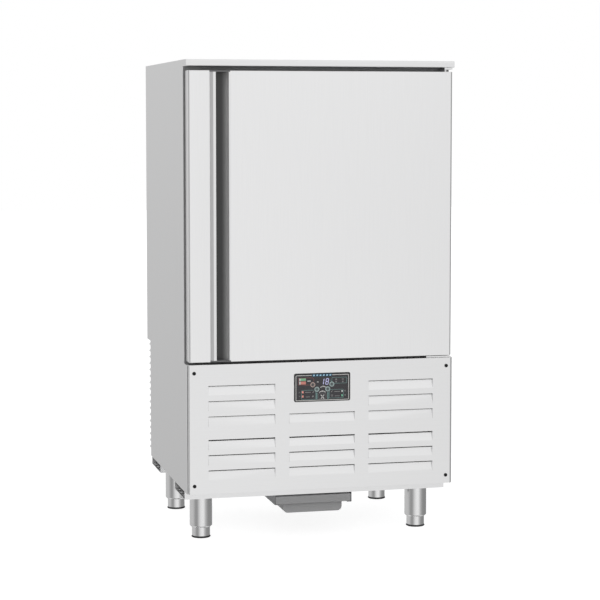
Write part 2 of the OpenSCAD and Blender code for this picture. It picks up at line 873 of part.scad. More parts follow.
evap_side = 45;           // cover's end to the chamber's wall
evap_w = 2 * (cav_x - evap_side);
evap_z0 = cav_z0 + 12;
evap_z1 = cav_z1 - 14;
evap_fan_zs = [evap_z0 + (evap_z1 - evap_z0) * 0.74, evap_z0 + (evap_z1 - evap_z0) * 0.26];
evap_fan_y = evap_y + 16;
coil_d = 75;
coil_y0 = cav_y - skin_t - coil_d;
hub_h = 26;
shaft_d = 8;

// sheet in front of the coil, folded back to the chamber's back wall at top and bottom
module evaporator_cover() {
    color(steel) difference() {
        block([-evap_w / 2, evap_y, evap_z0], [evap_w / 2, cav_y - skin_t, evap_z1]);
        block([-evap_w / 2 - over, evap_y + skin_t, evap_z0 + skin_t],
            [evap_w / 2 + over, cav_y, evap_z1 - skin_t]);
        for (z = evap_fan_zs) translate([0, evap_y - over, z]) rotate([-90, 0, 0])
            cylinder(d = evap_fan_d + 10, h = skin_t + 2 * over, $fn = 96);
    }
}

// a flat guard: rings on four arms, drawn on a plane
module guard_outline(d, arm) {
    rings = 6;
    bar = 3.2;
    for (i = [1:rings]) difference() {
        circle(d = d * i / rings, $fn = 72);
        circle(d = d * i / rings - 2 * bar, $fn = 72);
    }
    for (a = [45, 135]) rotate(a) square([2 * arm, 5], center = true);
    circle(d = 30);
}

module evaporator_fan_guards() {
    d = evap_fan_d + 26;
    color("#c8c9cb") for (z = evap_fan_zs) translate([0, 0, z])
        plate_y(evap_y - 3, evap_y) guard_outline(d, d / 2 - 1);
}

// a fan motor: can with its shaft forward along -Y from the origin, on a strap with two arms
// that reach forward by arm_l at arm_x either side
module motor(shaft_l, strap_y, arm_x, arm_l) {
    motor_d = 86;
    motor_l = 44;
    strap_h = 30;
    strap_t = 3;
    rotate([-90, 0, 0]) cylinder(d = motor_d, h = motor_l);
    translate([0, -shaft_l, 0]) rotate([-90, 0, 0])
        cylinder(d = shaft_d, h = shaft_l + over, $fn = 32);
    plate_y(strap_y, strap_y + strap_t) square([2 * arm_x + strap_t, strap_h], center = true);
    for (s = [-1, 1]) translate([s * arm_x - strap_t / 2, strap_y + strap_t - arm_l, -strap_h / 2])
        cube([strap_t, arm_l, strap_h]);
}

motor_gap = 8;            // fan hub to motor can
strap_back = 20;          // front of a motor can to its strap

// the three motors: two behind the evaporator fans and one behind the condenser fan
module fan_motors() {
    evap_motor_y = evap_fan_y + hub_h + motor_gap;
    cond_motor_y = cond_fan_y + cond_hub_h + motor_gap;
    shroud_y = cond_y0 + cond_d + shroud_d;
    color("#5c5e61") {
        for (z = evap_fan_zs) translate([0, evap_motor_y, z])
            motor(hub_h + motor_gap + 2, strap_back, evap_fan_d / 2 + 30,
                evap_motor_y + strap_back + 3 - evap_y - skin_t);
        translate([cond_cx, cond_motor_y, cond_cz])
            motor(cond_hub_h + motor_gap + 2, strap_back, cond_fan_d / 2 + 20,
                cond_motor_y + strap_back + 3 - shroud_y);
    }
}

// axial fan about the Y axis: blades twisted out of a hub with a shaft bore
module fan(d, hub_d, blades, depth) {
    twist = 26;
    difference() {
        union() {
            rotate([-90, 0, 0]) cylinder(d = hub_d, h = depth);
            translate([0, depth * 0.1, 0]) rotate([-90, 0, 0])
                for (i = [0:blades - 1]) rotate(i * 360 / blades)
                    linear_extrude(depth * 0.8, twist = twist, slices = 3)
                    fan_blade(d / 2, hub_d / 2);
        }
        translate([0, -over, 0]) rotate([-90, 0, 0])
            cylinder(r = shaft_d / 2 + run, h = depth + 2 * over, $fn = 32);
    }
}

// one blade in plan: a curved strip from inside the hub to the tip
module fan_blade(tip_r, root_r) {
    steps = 3;
    sweep = 16;
    half = 1.4;
    lead = [for (i = [0:steps]) let (r = root_r * 0.8 + (tip_r - root_r * 0.8) * i / steps)
        [r * cos(sweep * i / steps), r * sin(sweep * i / steps) - half]];
    trail = [for (i = [steps:-1:0]) [lead[i][0], lead[i][1] + 2 * half]];
    polygon(concat(lead, trail));
}

module evaporator_fan(z) {
    color("#3f4043") translate([0, evap_fan_y, z]) fan(evap_fan_d, 70, 5, hub_h);
}

// finned block cut open from the front and the back, with end plates and return bends
module fin_coil(w, d, h, cuts, bends) {
    plate = 3;
    core = 8;
    pitch = w / cuts;
    bend_r = d / 4;
    tube_d = 10;
    linear_extrude(h) difference() {
        square([w, d]);
        for (i = [0:cuts - 1], y = [-over, (d + core) / 2])
            translate([(i + 0.5) * pitch - pitch * 0.35, y])
                square([pitch * 0.7, (d - core) / 2 + over]);
    }
    for (x = [-plate, w]) translate([x, 0, 0]) cube([plate, d, h]);
    for (i = [0:bends - 1], side = [0, 1])
        translate([side * w + (side * 2 - 1) * plate, d / 2, (i + 0.5) * h / bends])
            rotate([0, side == 1 ? 90 : -90, 0]) rotate([90, 0, 90])
            rotate_extrude(angle = 180, $fn = 32) translate([bend_r, 0]) circle(d = tube_d, $fn = 20);
}

module evaporator_coil() {
    w = evap_w - 70;
    h = evap_z1 - evap_z0 - 60;
    color("#b9bcc0") translate([-w / 2, coil_y0, evap_z0 + skin_t])
        fin_coil(w, coil_d, h, fin_cuts, 8);
}

// ---- machine compartment ----

comp_side = 180;          // compressor's axis to the cabinet's side
comp_back = 238;          // compressor's axis to the lower back
comp_x = side_x - comp_side;
comp_y = step_y - comp_back;
mount_h = 22;
comp_dome = comp_d * 0.22;
comp_foot_w = comp_d + 40;
small_pipe_d = 10;
big_pipe_d = 16;
stub_l = 8;               // pipe stubs stand out this far
stub_drop = 35.6;         // shell's shoulder to the discharge stub
stub_step = 20;           // discharge stub to the suction stub
discharge_z = pan_z + mount_h + comp_h - comp_dome - stub_drop;
suction_z = discharge_z - stub_step;

// hermetic shell on a foot plate
module compressor() {
    foot_t = 4;
    r = comp_d / 2;
    dome = comp_dome;
    foot_w = comp_foot_w;
    color("#1e1f21") translate([comp_x, comp_y, pan_z + mount_h]) difference() {
        union() {
            translate([-foot_w / 2, -foot_w / 2, 0]) cube([foot_w, foot_w, foot_t]);
            rotate_extrude($fn = 64) intersection() {
                union() {
                    square_from([0, 0], [r, comp_h - dome]);
                    translate([0, comp_h - dome]) intersection() {
                        translate([0, -r + dome]) circle(r, $fn = 96);
                        square([r, comp_h]);
                    }
                    translate([0, comp_h * 0.5]) square([r + 3, 8]);
                }
                square([2 * r, comp_h]);
            }
            translate([0, -r - 22, comp_h * 0.55]) translate([-35, 0, 0]) cube([70, 50, 60]);
            translate([0, 0, discharge_z - pan_z - mount_h]) rotate([0, -90, 0])
                cylinder(d = small_pipe_d + 4, h = r + stub_l);
            translate([0, 0, suction_z - pan_z - mount_h]) rotate([-90, 0, 0])
                cylinder(d = big_pipe_d + 4, h = r + stub_l);
        }
        for (x = [-1, 1], y = [-1, 1])
            translate([x * (foot_w / 2 - 14), y * (foot_w / 2 - 14), -over])
                cylinder(r = 6 + run, h = foot_t + 2 * over);
    }
}

// rubber feet with a sleeve that passes the foot plate
module compressor_mounts() {
    foot_w = comp_foot_w;
    color("#111111") for (x = [-1, 1], y = [-1, 1])
        translate([comp_x + x * (foot_w / 2 - 14), comp_y + y * (foot_w / 2 - 14), pan_z])
            rotate_extrude($fn = 40)
            polygon([[0, 0], [13, 0], [10, mount_h / 2], [12, mount_h], [6, mount_h],
                [6, mount_h + 10], [0, mount_h + 10]]);
}

cond_side = 65;           // coil to the cabinet's side
cond_x0 = -side_x + cond_side;
cond_w = 330;
cond_h = 300;
cond_d = 70;
cond_y0 = face_y + 58;
cond_z0 = pan_z;
cond_cx = cond_x0 + cond_w / 2;
cond_cz = cond_z0 + cond_h / 2;
shroud_d = 60;

module condenser_coil() {
    color("#a9adb2") translate([cond_x0, cond_y0, cond_z0])
        fin_coil(cond_w, cond_d, cond_h, fin_cuts, 4);
}

// box behind the coil with the fan's ring
module condenser_shroud() {
    y0 = cond_y0 + cond_d;
    color("#c4c6c9") difference() {
        block([cond_x0, y0, cond_z0], [cond_x0 + cond_w, y0 + shroud_d, cond_z0 + cond_h]);
        block([cond_x0 + skin_t, y0 - over, cond_z0 + skin_t],
            [cond_x0 + cond_w - skin_t, y0 + shroud_d - skin_t, cond_z0 + cond_h - skin_t]);
        translate([cond_cx, y0, cond_cz]) rotate([-90, 0, 0])
            cylinder(d = cond_fan_d + 12, h = shroud_d + over, $fn = 96);
    }
}

cond_hub_h = 34;
cond_fan_y = cond_y0 + cond_d + shroud_d - 30;

module condenser_fan() {
    color("#3f4043") translate([cond_cx, cond_fan_y, cond_cz]) fan(cond_fan_d, 76, 5, cond_hub_h);
}

receiver_x = cond_x0 + 80;
receiver_y = 120;
receiver_r = 50;
receiver_h = 230;
receiver_in_z = base_z + 58;
valve_up = 26;            // receiver top to the valve's axis
valve_l = 34;

// upright liquid receiver with dished ends on a ring foot, and its outlet valve
module receiver() {
    r = receiver_r;
    h = receiver_h;
    color("#1f3f6b") translate([receiver_x, receiver_y, pan_z]) union() {
        translate([0, 0, receiver_in_z - pan_z]) rotate([0, 90, 0])
            cylinder(d = small_pipe_d + 4, h = r + stub_l);
        cylinder(r = r * 0.8, h = 14);
        translate([0, 0, 12]) rotate_extrude($fn = 64) {
            square_from([0, 20], [r, h - 20]);
            translate([0, 20]) intersection() {
                circle(r);
                square_from([0, -20], [r, 0]);
            }
            translate([0, h - 20]) intersection() {
                circle(r);
                square_from([0, 0], [r, 20]);
            }
        }
        translate([0, 0, h]) cylinder(d = 18, h = 34);
        translate([0, 0, h + valve_up]) rotate([0, 90, 0]) cylinder(d = 12, h = valve_l);
    }
}

// one pipe along its corner points, with a bend of radius r at each inner corner; every leg
// runs along an axis
module pipe_run(points, d, r) {
    last = len(points) - 1;
    for (i = [0:last - 1]) {
        way = unit(points[i + 1] - points[i]);
        from = points[i] + (i > 0 ? r : 0) * way;
        to = points[i + 1] - (i < last - 1 ? r : 0) * way;
        pipe_leg(from, to, way, d);
        if (i < last - 1) pipe_bend(points[i + 1], way, unit(points[i + 2] - points[i + 1]), d, r);
    }
}

function unit(v) = v / norm(v);

module pipe_leg(from, to, way, d) {
    tilt = way[0] != 0 ? [0, 90 * way[0], 0]
        : way[1] != 0 ? [-90 * way[1], 0, 0]
        : [way[2] > 0 ? 0 : 180, 0, 0];
    translate(from) rotate(tilt) cylinder(d = d, h = norm(to - from));
}

// quarter bend at a corner, from the way that leads in to the way that leads out
module pipe_bend(corner, way_in, way_out, d, r) {
    across = cross(way_in, way_out);
    centre = corner - r * way_in + r * way_out;
    multmatrix([[-way_out[0], way_in[0], across[0], centre[0]],
        [-way_out[1], way_in[1], across[1], centre[1]],
        [-way_out[2], way_in[2], across[2], centre[2]],
        [0, 0, 0, 1]])
        rotate_extrude(angle = 90) translate([r, 0]) circle(d = d);
}

// discharge to the condenser, condenser to the receiver, receiver up to the chamber and
// suction back to the compressor
module refrigerant_pipes() {
    bend_r = 24;
    riser_l = 116;        // valve to the liquid line's riser
    turn_l = 37;          // coil to the turn of the line that leaves it
    suction_back = 58;    // suction riser to the lower back
    coil_x = cond_x0 + cond_w + 3;
    coil_y = cond_y0 + cond_d / 2;
    bend_z = cond_h / 8;
    shell_x = comp_x - comp_d / 2 - stub_l;
    shell_y = comp_y + comp_d / 2 + stub_l;
    gas_z = cond_z0 + 7.5 * bend_z + 4;
    liquid_z = cond_z0 + 0.5 * bend_z - 2;
    drop_x = (coil_x + shell_x) / 2;
    valve_x = receiver_x + valve_l;
    valve_z = pan_z + receiver_h + valve_up;
    rise_x = valve_x + riser_l;
    turn_x = coil_x + turn_l;
    suction_y = step_y - suction_back;
    color("#b9714a") {
        pipe_run([[shell_x, comp_y, discharge_z], [drop_x, comp_y, discharge_z],
            [drop_x, comp_y, gas_z], [drop_x, coil_y, gas_z], [coil_x, coil_y, gas_z]],
            small_pipe_d, bend_r);
        pipe_run([[coil_x, coil_y, liquid_z], [turn_x, coil_y, liquid_z],
            [turn_x, receiver_y, liquid_z], [turn_x, receiver_y, receiver_in_z],
            [receiver_x + receiver_r + stub_l, receiver_y, receiver_in_z]],
            small_pipe_d, bend_r * 0.8);
        pipe_run([[valve_x, receiver_y, valve_z], [rise_x, receiver_y, valve_z],
            [rise_x, receiver_y, deck_z]], small_pipe_d, bend_r);
        pipe_run([[comp_x, shell_y, suction_z], [comp_x, suction_y, suction_z],
            [comp_x, suction_y, deck_z]], big_pipe_d, bend_r * 1.4);
    }
}

module electrical_box() {
    w = 200;
    d = 110;
    h = 150;
    wall = 1.5;
    color("#cfd1d3") translate([70, face_y + 70, deck_z - h]) difference() {
        cube([w, d, h]);
        translate([wall, wall, wall]) cube([w - 2 * wall, d - 2 * wall, h - 2 * wall]);
        translate([w / 2, d + over, 20]) rotate([90, 0, 0]) cylinder(d = 20, h = wall + 2 * over);
    }
}

// strain relief for the mains lead in the rear cover's plain strip, without its lead
module cable_gland() {
    y1 = step_y + cover_depth;
    color(dark) translate([0, y1, base_z + 14]) rotate([-90, 0, 0]) difference() {
        union() {
            cylinder(d = 20, h = 3, $fn = 6);
            cylinder(d = 14, h = 7);
        }
        translate([0, 0, -over]) cylinder(d = 8, h = 12);
    }
}

left_side_panel();
right_side_panel();
top_panel();
back_panel();
rear_cover();
insulation();
inner_liner();
front_frame();
deck();
base_pan();
base_beams();
front_posts();
leg_tubes();
foot(0);  // foot_front_left
foot(1);  // foot_front_right
foot(2);  // foot_rear_left
foot(3);  // foot_rear_right
pad(0);  // pad_front_left
pad(1);  // pad_front_right
pad(2);  // pad_rear_left
pad(3);  // pad_rear_right
door_skin();
door_inner_panel();
door_foam();
door_gasket();
grip_profile();
grip_end_caps();
hinge_bracket_top();
hinge_bracket_bottom();
hinge_pins();
hinge_bushes();
lower_front_panel();
panel_screws();
control_bezel();
control_face();
control_housing();
control_board();
key(0);  // key_upper_left
key(1);  // key_lower_left
key(2);  // key_lower_right
key(3);  // key_upper_right
drip_tray();
tray_rails();
rack_uprights();
tray_slides();
evaporator_cover();
evaporator_coil();
fan_motors();
evaporator_fan_guards();
evaporator_fan(evap_fan_zs[0]);  // evaporator_fan_upper
evaporator_fan(evap_fan_zs[1]);  // evaporator_fan_lower
compressor();
compressor_mounts();
condenser_coil();
condenser_shroud();
condenser_fan();
receiver();
refrigerant_pipes();
electrical_box();
cable_gland();
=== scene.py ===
import math

import bmesh
import bpy
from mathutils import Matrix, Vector


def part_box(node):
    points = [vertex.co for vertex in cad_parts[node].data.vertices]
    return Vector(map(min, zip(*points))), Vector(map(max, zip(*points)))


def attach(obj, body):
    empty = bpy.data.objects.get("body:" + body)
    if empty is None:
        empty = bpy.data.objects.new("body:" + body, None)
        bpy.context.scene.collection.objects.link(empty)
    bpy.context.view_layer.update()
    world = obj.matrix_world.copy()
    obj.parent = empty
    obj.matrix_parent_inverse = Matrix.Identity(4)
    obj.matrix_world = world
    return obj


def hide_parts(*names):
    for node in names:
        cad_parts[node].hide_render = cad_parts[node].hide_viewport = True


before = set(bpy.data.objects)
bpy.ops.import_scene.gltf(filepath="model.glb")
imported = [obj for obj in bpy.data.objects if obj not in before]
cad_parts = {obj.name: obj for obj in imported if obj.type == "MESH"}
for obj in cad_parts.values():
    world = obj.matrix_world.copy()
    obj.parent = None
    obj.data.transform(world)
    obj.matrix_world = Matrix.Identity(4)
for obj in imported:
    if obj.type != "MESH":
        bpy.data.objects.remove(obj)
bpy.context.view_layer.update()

MM = 0.001


# ---- finishes ----

# a grain's two tones by the level of its noise, and how strongly it bends the light
GRAIN_LEVELS = (0.3, 0.7)
GRAIN_DETAIL = 3.0
GRAIN_STRENGTH = 0.3
# how far a grain moves the roughness either way, and how high it stands
GRAIN_ROUGH = 0.04
BRUSHED_HEIGHT = 0.00001
MOULDED_HEIGHT = 0.00005
# the scale of the finest texture, and the surface of what is printed
FINE = 900
PRINT_ROUGH, PRINT_TINT, PRINT_SPAN = 0.5, 0.03, 0.03
# sheet steel is a touch bluer than grey
STEEL_BLUE = 1.004


def finish_base(name, colour, rough, metal=0.0):
    """A plain finish; returns the material and its shader."""
    mat = bpy.data.materials.new(name)
    mat.use_nodes = True
    shader = mat.node_tree.nodes["Principled BSDF"]
    shader.inputs["Base Color"].default_value = (*colour, 1)
    shader.inputs["Roughness"].default_value = rough
    shader.inputs["Metallic"].default_value = metal
    return mat, shader


def stretched_noise(tree, stretch):
    """A noise laid over the piece, with its own scale along each axis."""
    place = tree.nodes.new("ShaderNodeTexCoord")
    scale = tree.nodes.new("ShaderNodeMapping")
    scale.inputs["Scale"].default_value = stretch
    noise = tree.nodes.new("ShaderNodeTexNoise")
    noise.inputs["Scale"].default_value = 1.0
    noise.inputs["Detail"].default_value = GRAIN_DETAIL
    tree.links.new(place.outputs["Object"], scale.inputs["Vector"])
    tree.links.new(scale.outputs["Vector"], noise.inputs["Vector"])
    return noise


def grain(mat, shader, colour, stretch, tint, rough, rough_span, height):
    """Adds a stretched noise to colour, roughness and surface height."""
    tree = mat.node_tree
    noise = stretched_noise(tree, stretch)
    ramp = tree.nodes.new("ShaderNodeValToRGB")
    for point, level, share in zip(ramp.color_ramp.elements, GRAIN_LEVELS, (1 - tint, 1 + tint)):
        point.position = level
        point.color = (*[min(c * share, 1) for c in colour], 1)
    tree.links.new(noise.outputs["Fac"], ramp.inputs["Fac"])
    tree.links.new(ramp.outputs["Color"], shader.inputs["Base Color"])
    tree.links.new(span(tree, noise.outputs["Fac"], 0.0, 1.0, rough - rough_span,
        rough + rough_span), shader.inputs["Roughness"])
    bump = tree.nodes.new("ShaderNodeBump")
    bump.inputs["Strength"].default_value = GRAIN_STRENGTH
    bump.inputs["Distance"].default_value = height
    tree.links.new(noise.outputs["Fac"], bump.inputs["Height"])
    tree.links.new(bump.outputs["Normal"], shader.inputs["Normal"])


def sheet_steel(name, tone, rough, stretch, tint=0.03):
    """Brushed or drawn steel; the stretch says which way its lines run."""
    colour = (tone, tone, tone * STEEL_BLUE)
    mat, shader = finish_base(name, colour, rough, 1.0)
    grain(mat, shader, colour, stretch, tint, rough, GRAIN_ROUGH, BRUSHED_HEIGHT)
    return mat


def speckled(name, colour, rough, scale, tint=0.06, metal=0.0):
    """A moulded or painted surface with a very fine texture."""
    mat, shader = finish_base(name, colour, rough, metal)
    grain(mat, shader, colour, (scale, scale, scale), tint, rough, GRAIN_ROUGH, MOULDED_HEIGHT)
    return mat


def ink(name, colour, rough=PRINT_ROUGH, tint=PRINT_TINT, metal=0.0):
    """A printed colour."""
    return speckled(name, colour, rough, FINE, tint, metal)


def lit_print(name, colour, strength):
    """A mark on the control that gives a little light of its own."""
    mat, shader = finish_base(name, colour, PRINT_ROUGH)
    grain(mat, shader, colour, (FINE, FINE, FINE), PRINT_TINT, PRINT_ROUGH, PRINT_SPAN,
        BRUSHED_HEIGHT)
    shader.inputs["Emission Color"].default_value = (*colour, 1)
    shader.inputs["Emission Strength"].default_value = strength
    return mat


def node_math(tree, operation, first, second):
    """A math node; each input is a socket or a number."""
    sums = tree.nodes.new("ShaderNodeMath")
    sums.operation = operation
    for place, value in enumerate((first, second)):
        if isinstance(value, (int, float)):
            sums.inputs[place].default_value = value
        else:
            tree.links.new(value, sums.inputs[place])
    return sums.outputs[0]


def span(tree, value, low, high, to_low, to_high):
    """Carries a value from one range over to another; the ends are sockets or numbers."""
    level = tree.nodes.new("ShaderNodeMapRange")
    tree.links.new(value, level.inputs["Value"])
    for name, end in (("From Min", low), ("From Max", high), ("To Min", to_low),
            ("To Max", to_high)):
        if isinstance(end, (int, float)):
            level.inputs[name].default_value = end
        else:
            tree.links.new(end, level.inputs[name])
    return level.outputs["Result"]


# the grip's mouth, from its left and its right edge
MOUTH_LEFT, MOUTH_RIGHT = 0.018, 0.0038
# how far behind the front the hollow starts, inside the mouth and beside it
MOUTH_BACK, LIP_BACK = 0.0008, 0.0052
# how far from the right edge the painted light on the hollow's right wall begins
PAINTED_LIGHT_RIGHT = 0.022
GRIP_LINES = (1500, 1500, 12)
GRIP_SPREAD = 0.03
GRIP_ROUGH, HOLLOW_ROUGH = 0.42, 0.34


def grip_steel_and_painted_shade(name, steel, deep, near, low, high):
    """Steel on the grip's front faces; inside its hollow a painted shade, dark at the back and
    turning to a painted highlight towards the right wall, which faces the light.
    """
    mat, shader = finish_base(name, (steel, steel, steel), GRIP_ROUGH, 1.0)
    tree = mat.node_tree
    place = tree.nodes.new("ShaderNodeTexCoord")
    axes = tree.nodes.new("ShaderNodeSeparateXYZ")
    tree.links.new(place.outputs["Object"], axes.inputs[0])
    x, y = axes.outputs["X"], axes.outputs["Y"]
    mouth_low, mouth_high = low[0] + MOUTH_LEFT, high[0] - MOUTH_RIGHT
    off = node_math(tree, "ABSOLUTE", node_math(tree, "SUBTRACT", x,
        (mouth_low + mouth_high) / 2), 0.0)
    in_mouth = node_math(tree, "MULTIPLY",
        node_math(tree, "LESS_THAN", off, (mouth_high - mouth_low) / 2),
        node_math(tree, "GREATER_THAN", y, low[1] + MOUTH_BACK))
    inside = node_math(tree, "MAXIMUM", in_mouth,
        node_math(tree, "GREATER_THAN", y, low[1] + LIP_BACK))
    noise = stretched_noise(tree, GRIP_LINES)
    spread = span(tree, noise.outputs["Fac"], 0.0, 1.0, 1 - GRIP_SPREAD, 1 + GRIP_SPREAD)
    # painted light and shade: the hollow's colour runs from dark at the back to pale at the right
    # wall, as the light falls
    share = span(tree, x, high[0] - PAINTED_LIGHT_RIGHT, mouth_high, 0.0, 1.0)
    hollow = span(tree, node_math(tree, "POWER", share, 2.0), 0.0, 1.0, deep, near)
    tone = span(tree, inside, 0.0, 1.0, steel, hollow)
    tree.links.new(node_math(tree, "MULTIPLY", tone, spread), shader.inputs["Base Color"])
    tree.links.new(span(tree, inside, 0.0, 1.0, GRIP_ROUGH, HOLLOW_ROUGH),
        shader.inputs["Roughness"])
    tree.links.new(span(tree, inside, 0.0, 1.0, 1.0, 0.0), shader.inputs["Metallic"])
    return mat


ALONG_X = (8, 1600, 1600)
ALONG_Z = (1600, 1600, 8)
ROUND_Z = (900, 900, 14)
DOOR_TONE = 0.825

FRONT_STEEL = sheet_steel("front_satin_steel", DOOR_TONE, 0.34, ALONG_Z, 0.02)
PANEL_STEEL = sheet_steel("panel_satin_steel", 0.81, 0.36, ALONG_X, 0.02)
SIDE_STEEL = sheet_steel("side_satin_steel", 0.70, 0.36, ALONG_Z)
TOP_STEEL = sheet_steel("top_satin_steel", 0.79, 0.34, ALONG_X)
LINER_STEEL = sheet_steel("chamber_steel", 0.68, 0.30, ALONG_Z)
LEG_STEEL = sheet_steel("leg_polished_steel", 0.74, 0.14, ROUND_Z)
HINGE_STEEL = sheet_steel("hinge_steel", 0.74, 0.24, ALONG_X)
WIRE_STEEL = sheet_steel("bright_wire", 0.78, 0.18, ALONG_X)
FINS = sheet_steel("aluminium_fins", 0.62, 0.35, ALONG_Z)
ZINC = speckled("galvanised_sheet", (0.52, 0.53, 0.54), 0.42, 60, 0.10, 0.8)
FOAM = speckled("cast_foam", (0.80, 0.74, 0.50), 0.9, 300)
FRAME_PLASTIC = speckled("frame_moulding", (0.33, 0.33, 0.335), 0.45, 500)
GASKET = speckled("gasket_rubber", (0.28, 0.285, 0.29), 0.6, 400)
RUBBER = speckled("black_rubber", (0.05, 0.05, 0.052), 0.7, 400)
BLACK_PLASTIC = speckled("black_moulding", (0.018, 0.018, 0.020), 0.4, FINE)
CAP_PLASTIC = speckled("cap_moulding", (0.20, 0.20, 0.205), 0.4, FINE)
FACE_PRINT = speckled("printed_face", (0.042, 0.040, 0.046), 0.28, FINE, 0.04)
KEY_PLASTIC = speckled("key_cap", (0.23, 0.29, 0.29), 0.4, FINE)
START_KEY_PLASTIC = speckled("start_key_cap", (0.22, 0.20, 0.19), 0.4, FINE)
BOARD = speckled("circuit_board", (0.02, 0.11, 0.05), 0.5, FINE)
WHITE_PLASTIC = speckled("white_bush", (0.80, 0.80, 0.77), 0.45, FINE)
SCREW_BLACK = speckled("blackened_screw", (0.014, 0.014, 0.015), 0.45, FINE, 0.04, 0.6)
RAIL_ZINC = speckled("dull_zinc_rail", (0.26, 0.26, 0.27), 0.45, 60, 0.08, 0.5)
TRAY_GREY = speckled("tray_plastic", (0.58, 0.58, 0.585), 0.5, 700)
FAN_PLASTIC = speckled("fan_moulding", (0.035, 0.035, 0.038), 0.5, FINE)
MOTOR_PAINT = speckled("motor_enamel", (0.06, 0.065, 0.07), 0.4, 500)
COMPRESSOR_PAINT = speckled("compressor_enamel", (0.012, 0.012, 0.014), 0.3, 500)
RECEIVER_PAINT = speckled("receiver_enamel", (0.02, 0.06, 0.17), 0.35, 500)
COPPER = speckled("drawn_copper", (0.62, 0.30, 0.18), 0.28, 300, 0.06, 1.0)
# 0.045 is the hollow's painted shade at the back, 0.95 its painted highlight at the right wall
GRIP_STEEL_AND_PAINTED_SHADE = grip_steel_and_painted_shade("grip_steel_and_painted_shade_hollow", DOOR_TONE, 0.045, 0.95,
    *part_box("grip_profile"))

TEAL_INK = ink("teal_ink", (0.27, 0.46, 0.44), tint=0.04)
RED_INK = ink("red_brown_ink", (0.50, 0.17, 0.15), tint=0.04)
SILVER_INK = ink("silver_ink", (0.80, 0.79, 0.77), 0.4, 0.04, 0.3)
WHITE_INK = ink("white_ink", (0.88, 0.87, 0.86))
GREY_INK = ink("grey_ink", (0.36, 0.36, 0.36))
GREEN_INK = ink("green_ink", (0.34, 0.72, 0.43))
SALMON_INK = ink("salmon_ink", (0.92, 0.36, 0.30))
DARK_INK = ink("dark_ink", (0.03, 0.03, 0.035))
NIGHT_INK = ink("night_blue_ink", (0.025, 0.07, 0.12))
PINK_RING_INK = ink("pink_ring_ink", (0.78, 0.58, 0.52))
TEAL_RING_INK = ink("pale_teal_ring_ink", (0.60, 0.75, 0.73))
DIGIT_GLOW = lit_print("digit_glow", (0.62, 0.62, 0.92), 0.28)
STATUS_GLOW = lit_print("status_glow", (0.40, 0.68, 0.86), 0.25)
RED_GLOW = lit_print("red_lamp_glow", (0.86, 0.36, 0.30), 0.25)
WHITE_GLOW = lit_print("white_lamp_glow", (0.72, 0.76, 0.74), 0.2)
GREEN_GLOW = lit_print("green_lamp_glow", (0.22, 0.60, 0.40), 0.2)

FINISH = {
    "left_side_panel": SIDE_STEEL, "right_side_panel": SIDE_STEEL, "top_panel": TOP_STEEL,
    "back_panel": SIDE_STEEL, "rear_cover": SIDE_STEEL, "insulation": FOAM,
    "inner_liner": LINER_STEEL, "front_frame": FRAME_PLASTIC, "deck": ZINC, "base_pan": ZINC,
    "base_beams": PANEL_STEEL, "front_posts": ZINC, "leg_tubes": LEG_STEEL,
    "door_skin": FRONT_STEEL, "door_inner_panel": LINER_STEEL, "door_foam": FOAM,
    "door_gasket": GASKET, "grip_profile": GRIP_STEEL_AND_PAINTED_SHADE, "grip_end_caps": CAP_PLASTIC,
    "hinge_bracket_top": HINGE_STEEL, "hinge_bracket_bottom": HINGE_STEEL,
    "hinge_pins": HINGE_STEEL, "hinge_bushes": WHITE_PLASTIC,
    "lower_front_panel": PANEL_STEEL, "panel_screws": SCREW_BLACK,
    "control_bezel": BLACK_PLASTIC, "control_face": FACE_PRINT,
    "control_housing": BLACK_PLASTIC, "control_board": BOARD, "drip_tray": TRAY_GREY,
    "tray_rails": RAIL_ZINC, "rack_uprights": LINER_STEEL, "tray_slides": LINER_STEEL,
    "evaporator_cover": LINER_STEEL, "evaporator_coil": FINS, "fan_motors": MOTOR_PAINT,
    "evaporator_fan_guards": WIRE_STEEL, "evaporator_fan_upper": FAN_PLASTIC,
    "evaporator_fan_lower": FAN_PLASTIC, "compressor": COMPRESSOR_PAINT,
    "compressor_mounts": RUBBER, "condenser_coil": FINS, "condenser_shroud": ZINC,
    "condenser_fan": FAN_PLASTIC, "receiver": RECEIVER_PAINT, "refrigerant_pipes": COPPER,
    "electrical_box": ZINC, "cable_gland": BLACK_PLASTIC,
    "key_upper_left": START_KEY_PLASTIC, "key_lower_left": KEY_PLASTIC,
    "key_lower_right": KEY_PLASTIC, "key_upper_right": KEY_PLASTIC,
}
for name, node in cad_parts.items():
    if name.startswith("foot_"):
        finish = LEG_STEEL
    elif name.startswith("pad_"):
        finish = RUBBER
    else:
        finish = FINISH[name]
    for material_slot in node.material_slots:
        material_slot.material = finish


# ---- ways of working ----

# a normal with more than ALONG of an axis points that way, one with less than ACROSS lies across
ALONG = 0.9
ACROSS = 0.1
# points nearer than MERGE are one, and faces turned by less than FLAT degrees are one
MERGE = 0.000005
FLAT = 0.5
# edges sharper than this many degrees are eased
EASE_ANGLE = 35
# measures this close count as the same
CLOSE = 0.00001


def clear_hands():
    """Leaves edit mode and selects nothing."""
    if bpy.context.mode != "OBJECT":
        bpy.ops.object.mode_set(mode="OBJECT")
    bpy.ops.object.select_all(action="DESELECT")


def take(piece):
    """Selects one piece and makes it the active one."""
    clear_hands()
    piece.select_set(True)
    bpy.context.view_layer.objects.active = piece


def settle(piece):
    """Puts a piece's place, turn and scale into its mesh."""
    take(piece)
    bpy.ops.object.transform_apply(location=True, rotation=True, scale=True)


def join(parts, name):
    """Makes one named piece of several."""
    clear_hands()
    for part in parts:
        part.select_set(True)
    bpy.context.view_layer.objects.active = parts[0]
    if len(parts) > 1:
        bpy.ops.object.join()
    piece = bpy.context.object
    piece.name = name
    piece.data.name = name
    return piece


def mount_piece(piece, finish, body, smooth=30):
    """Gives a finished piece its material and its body."""
    settle(piece)
    piece.data.materials.clear()
    piece.data.materials.append(finish)
    bpy.ops.object.shade_smooth_by_angle(angle=math.radians(smooth))
    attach(piece, body)


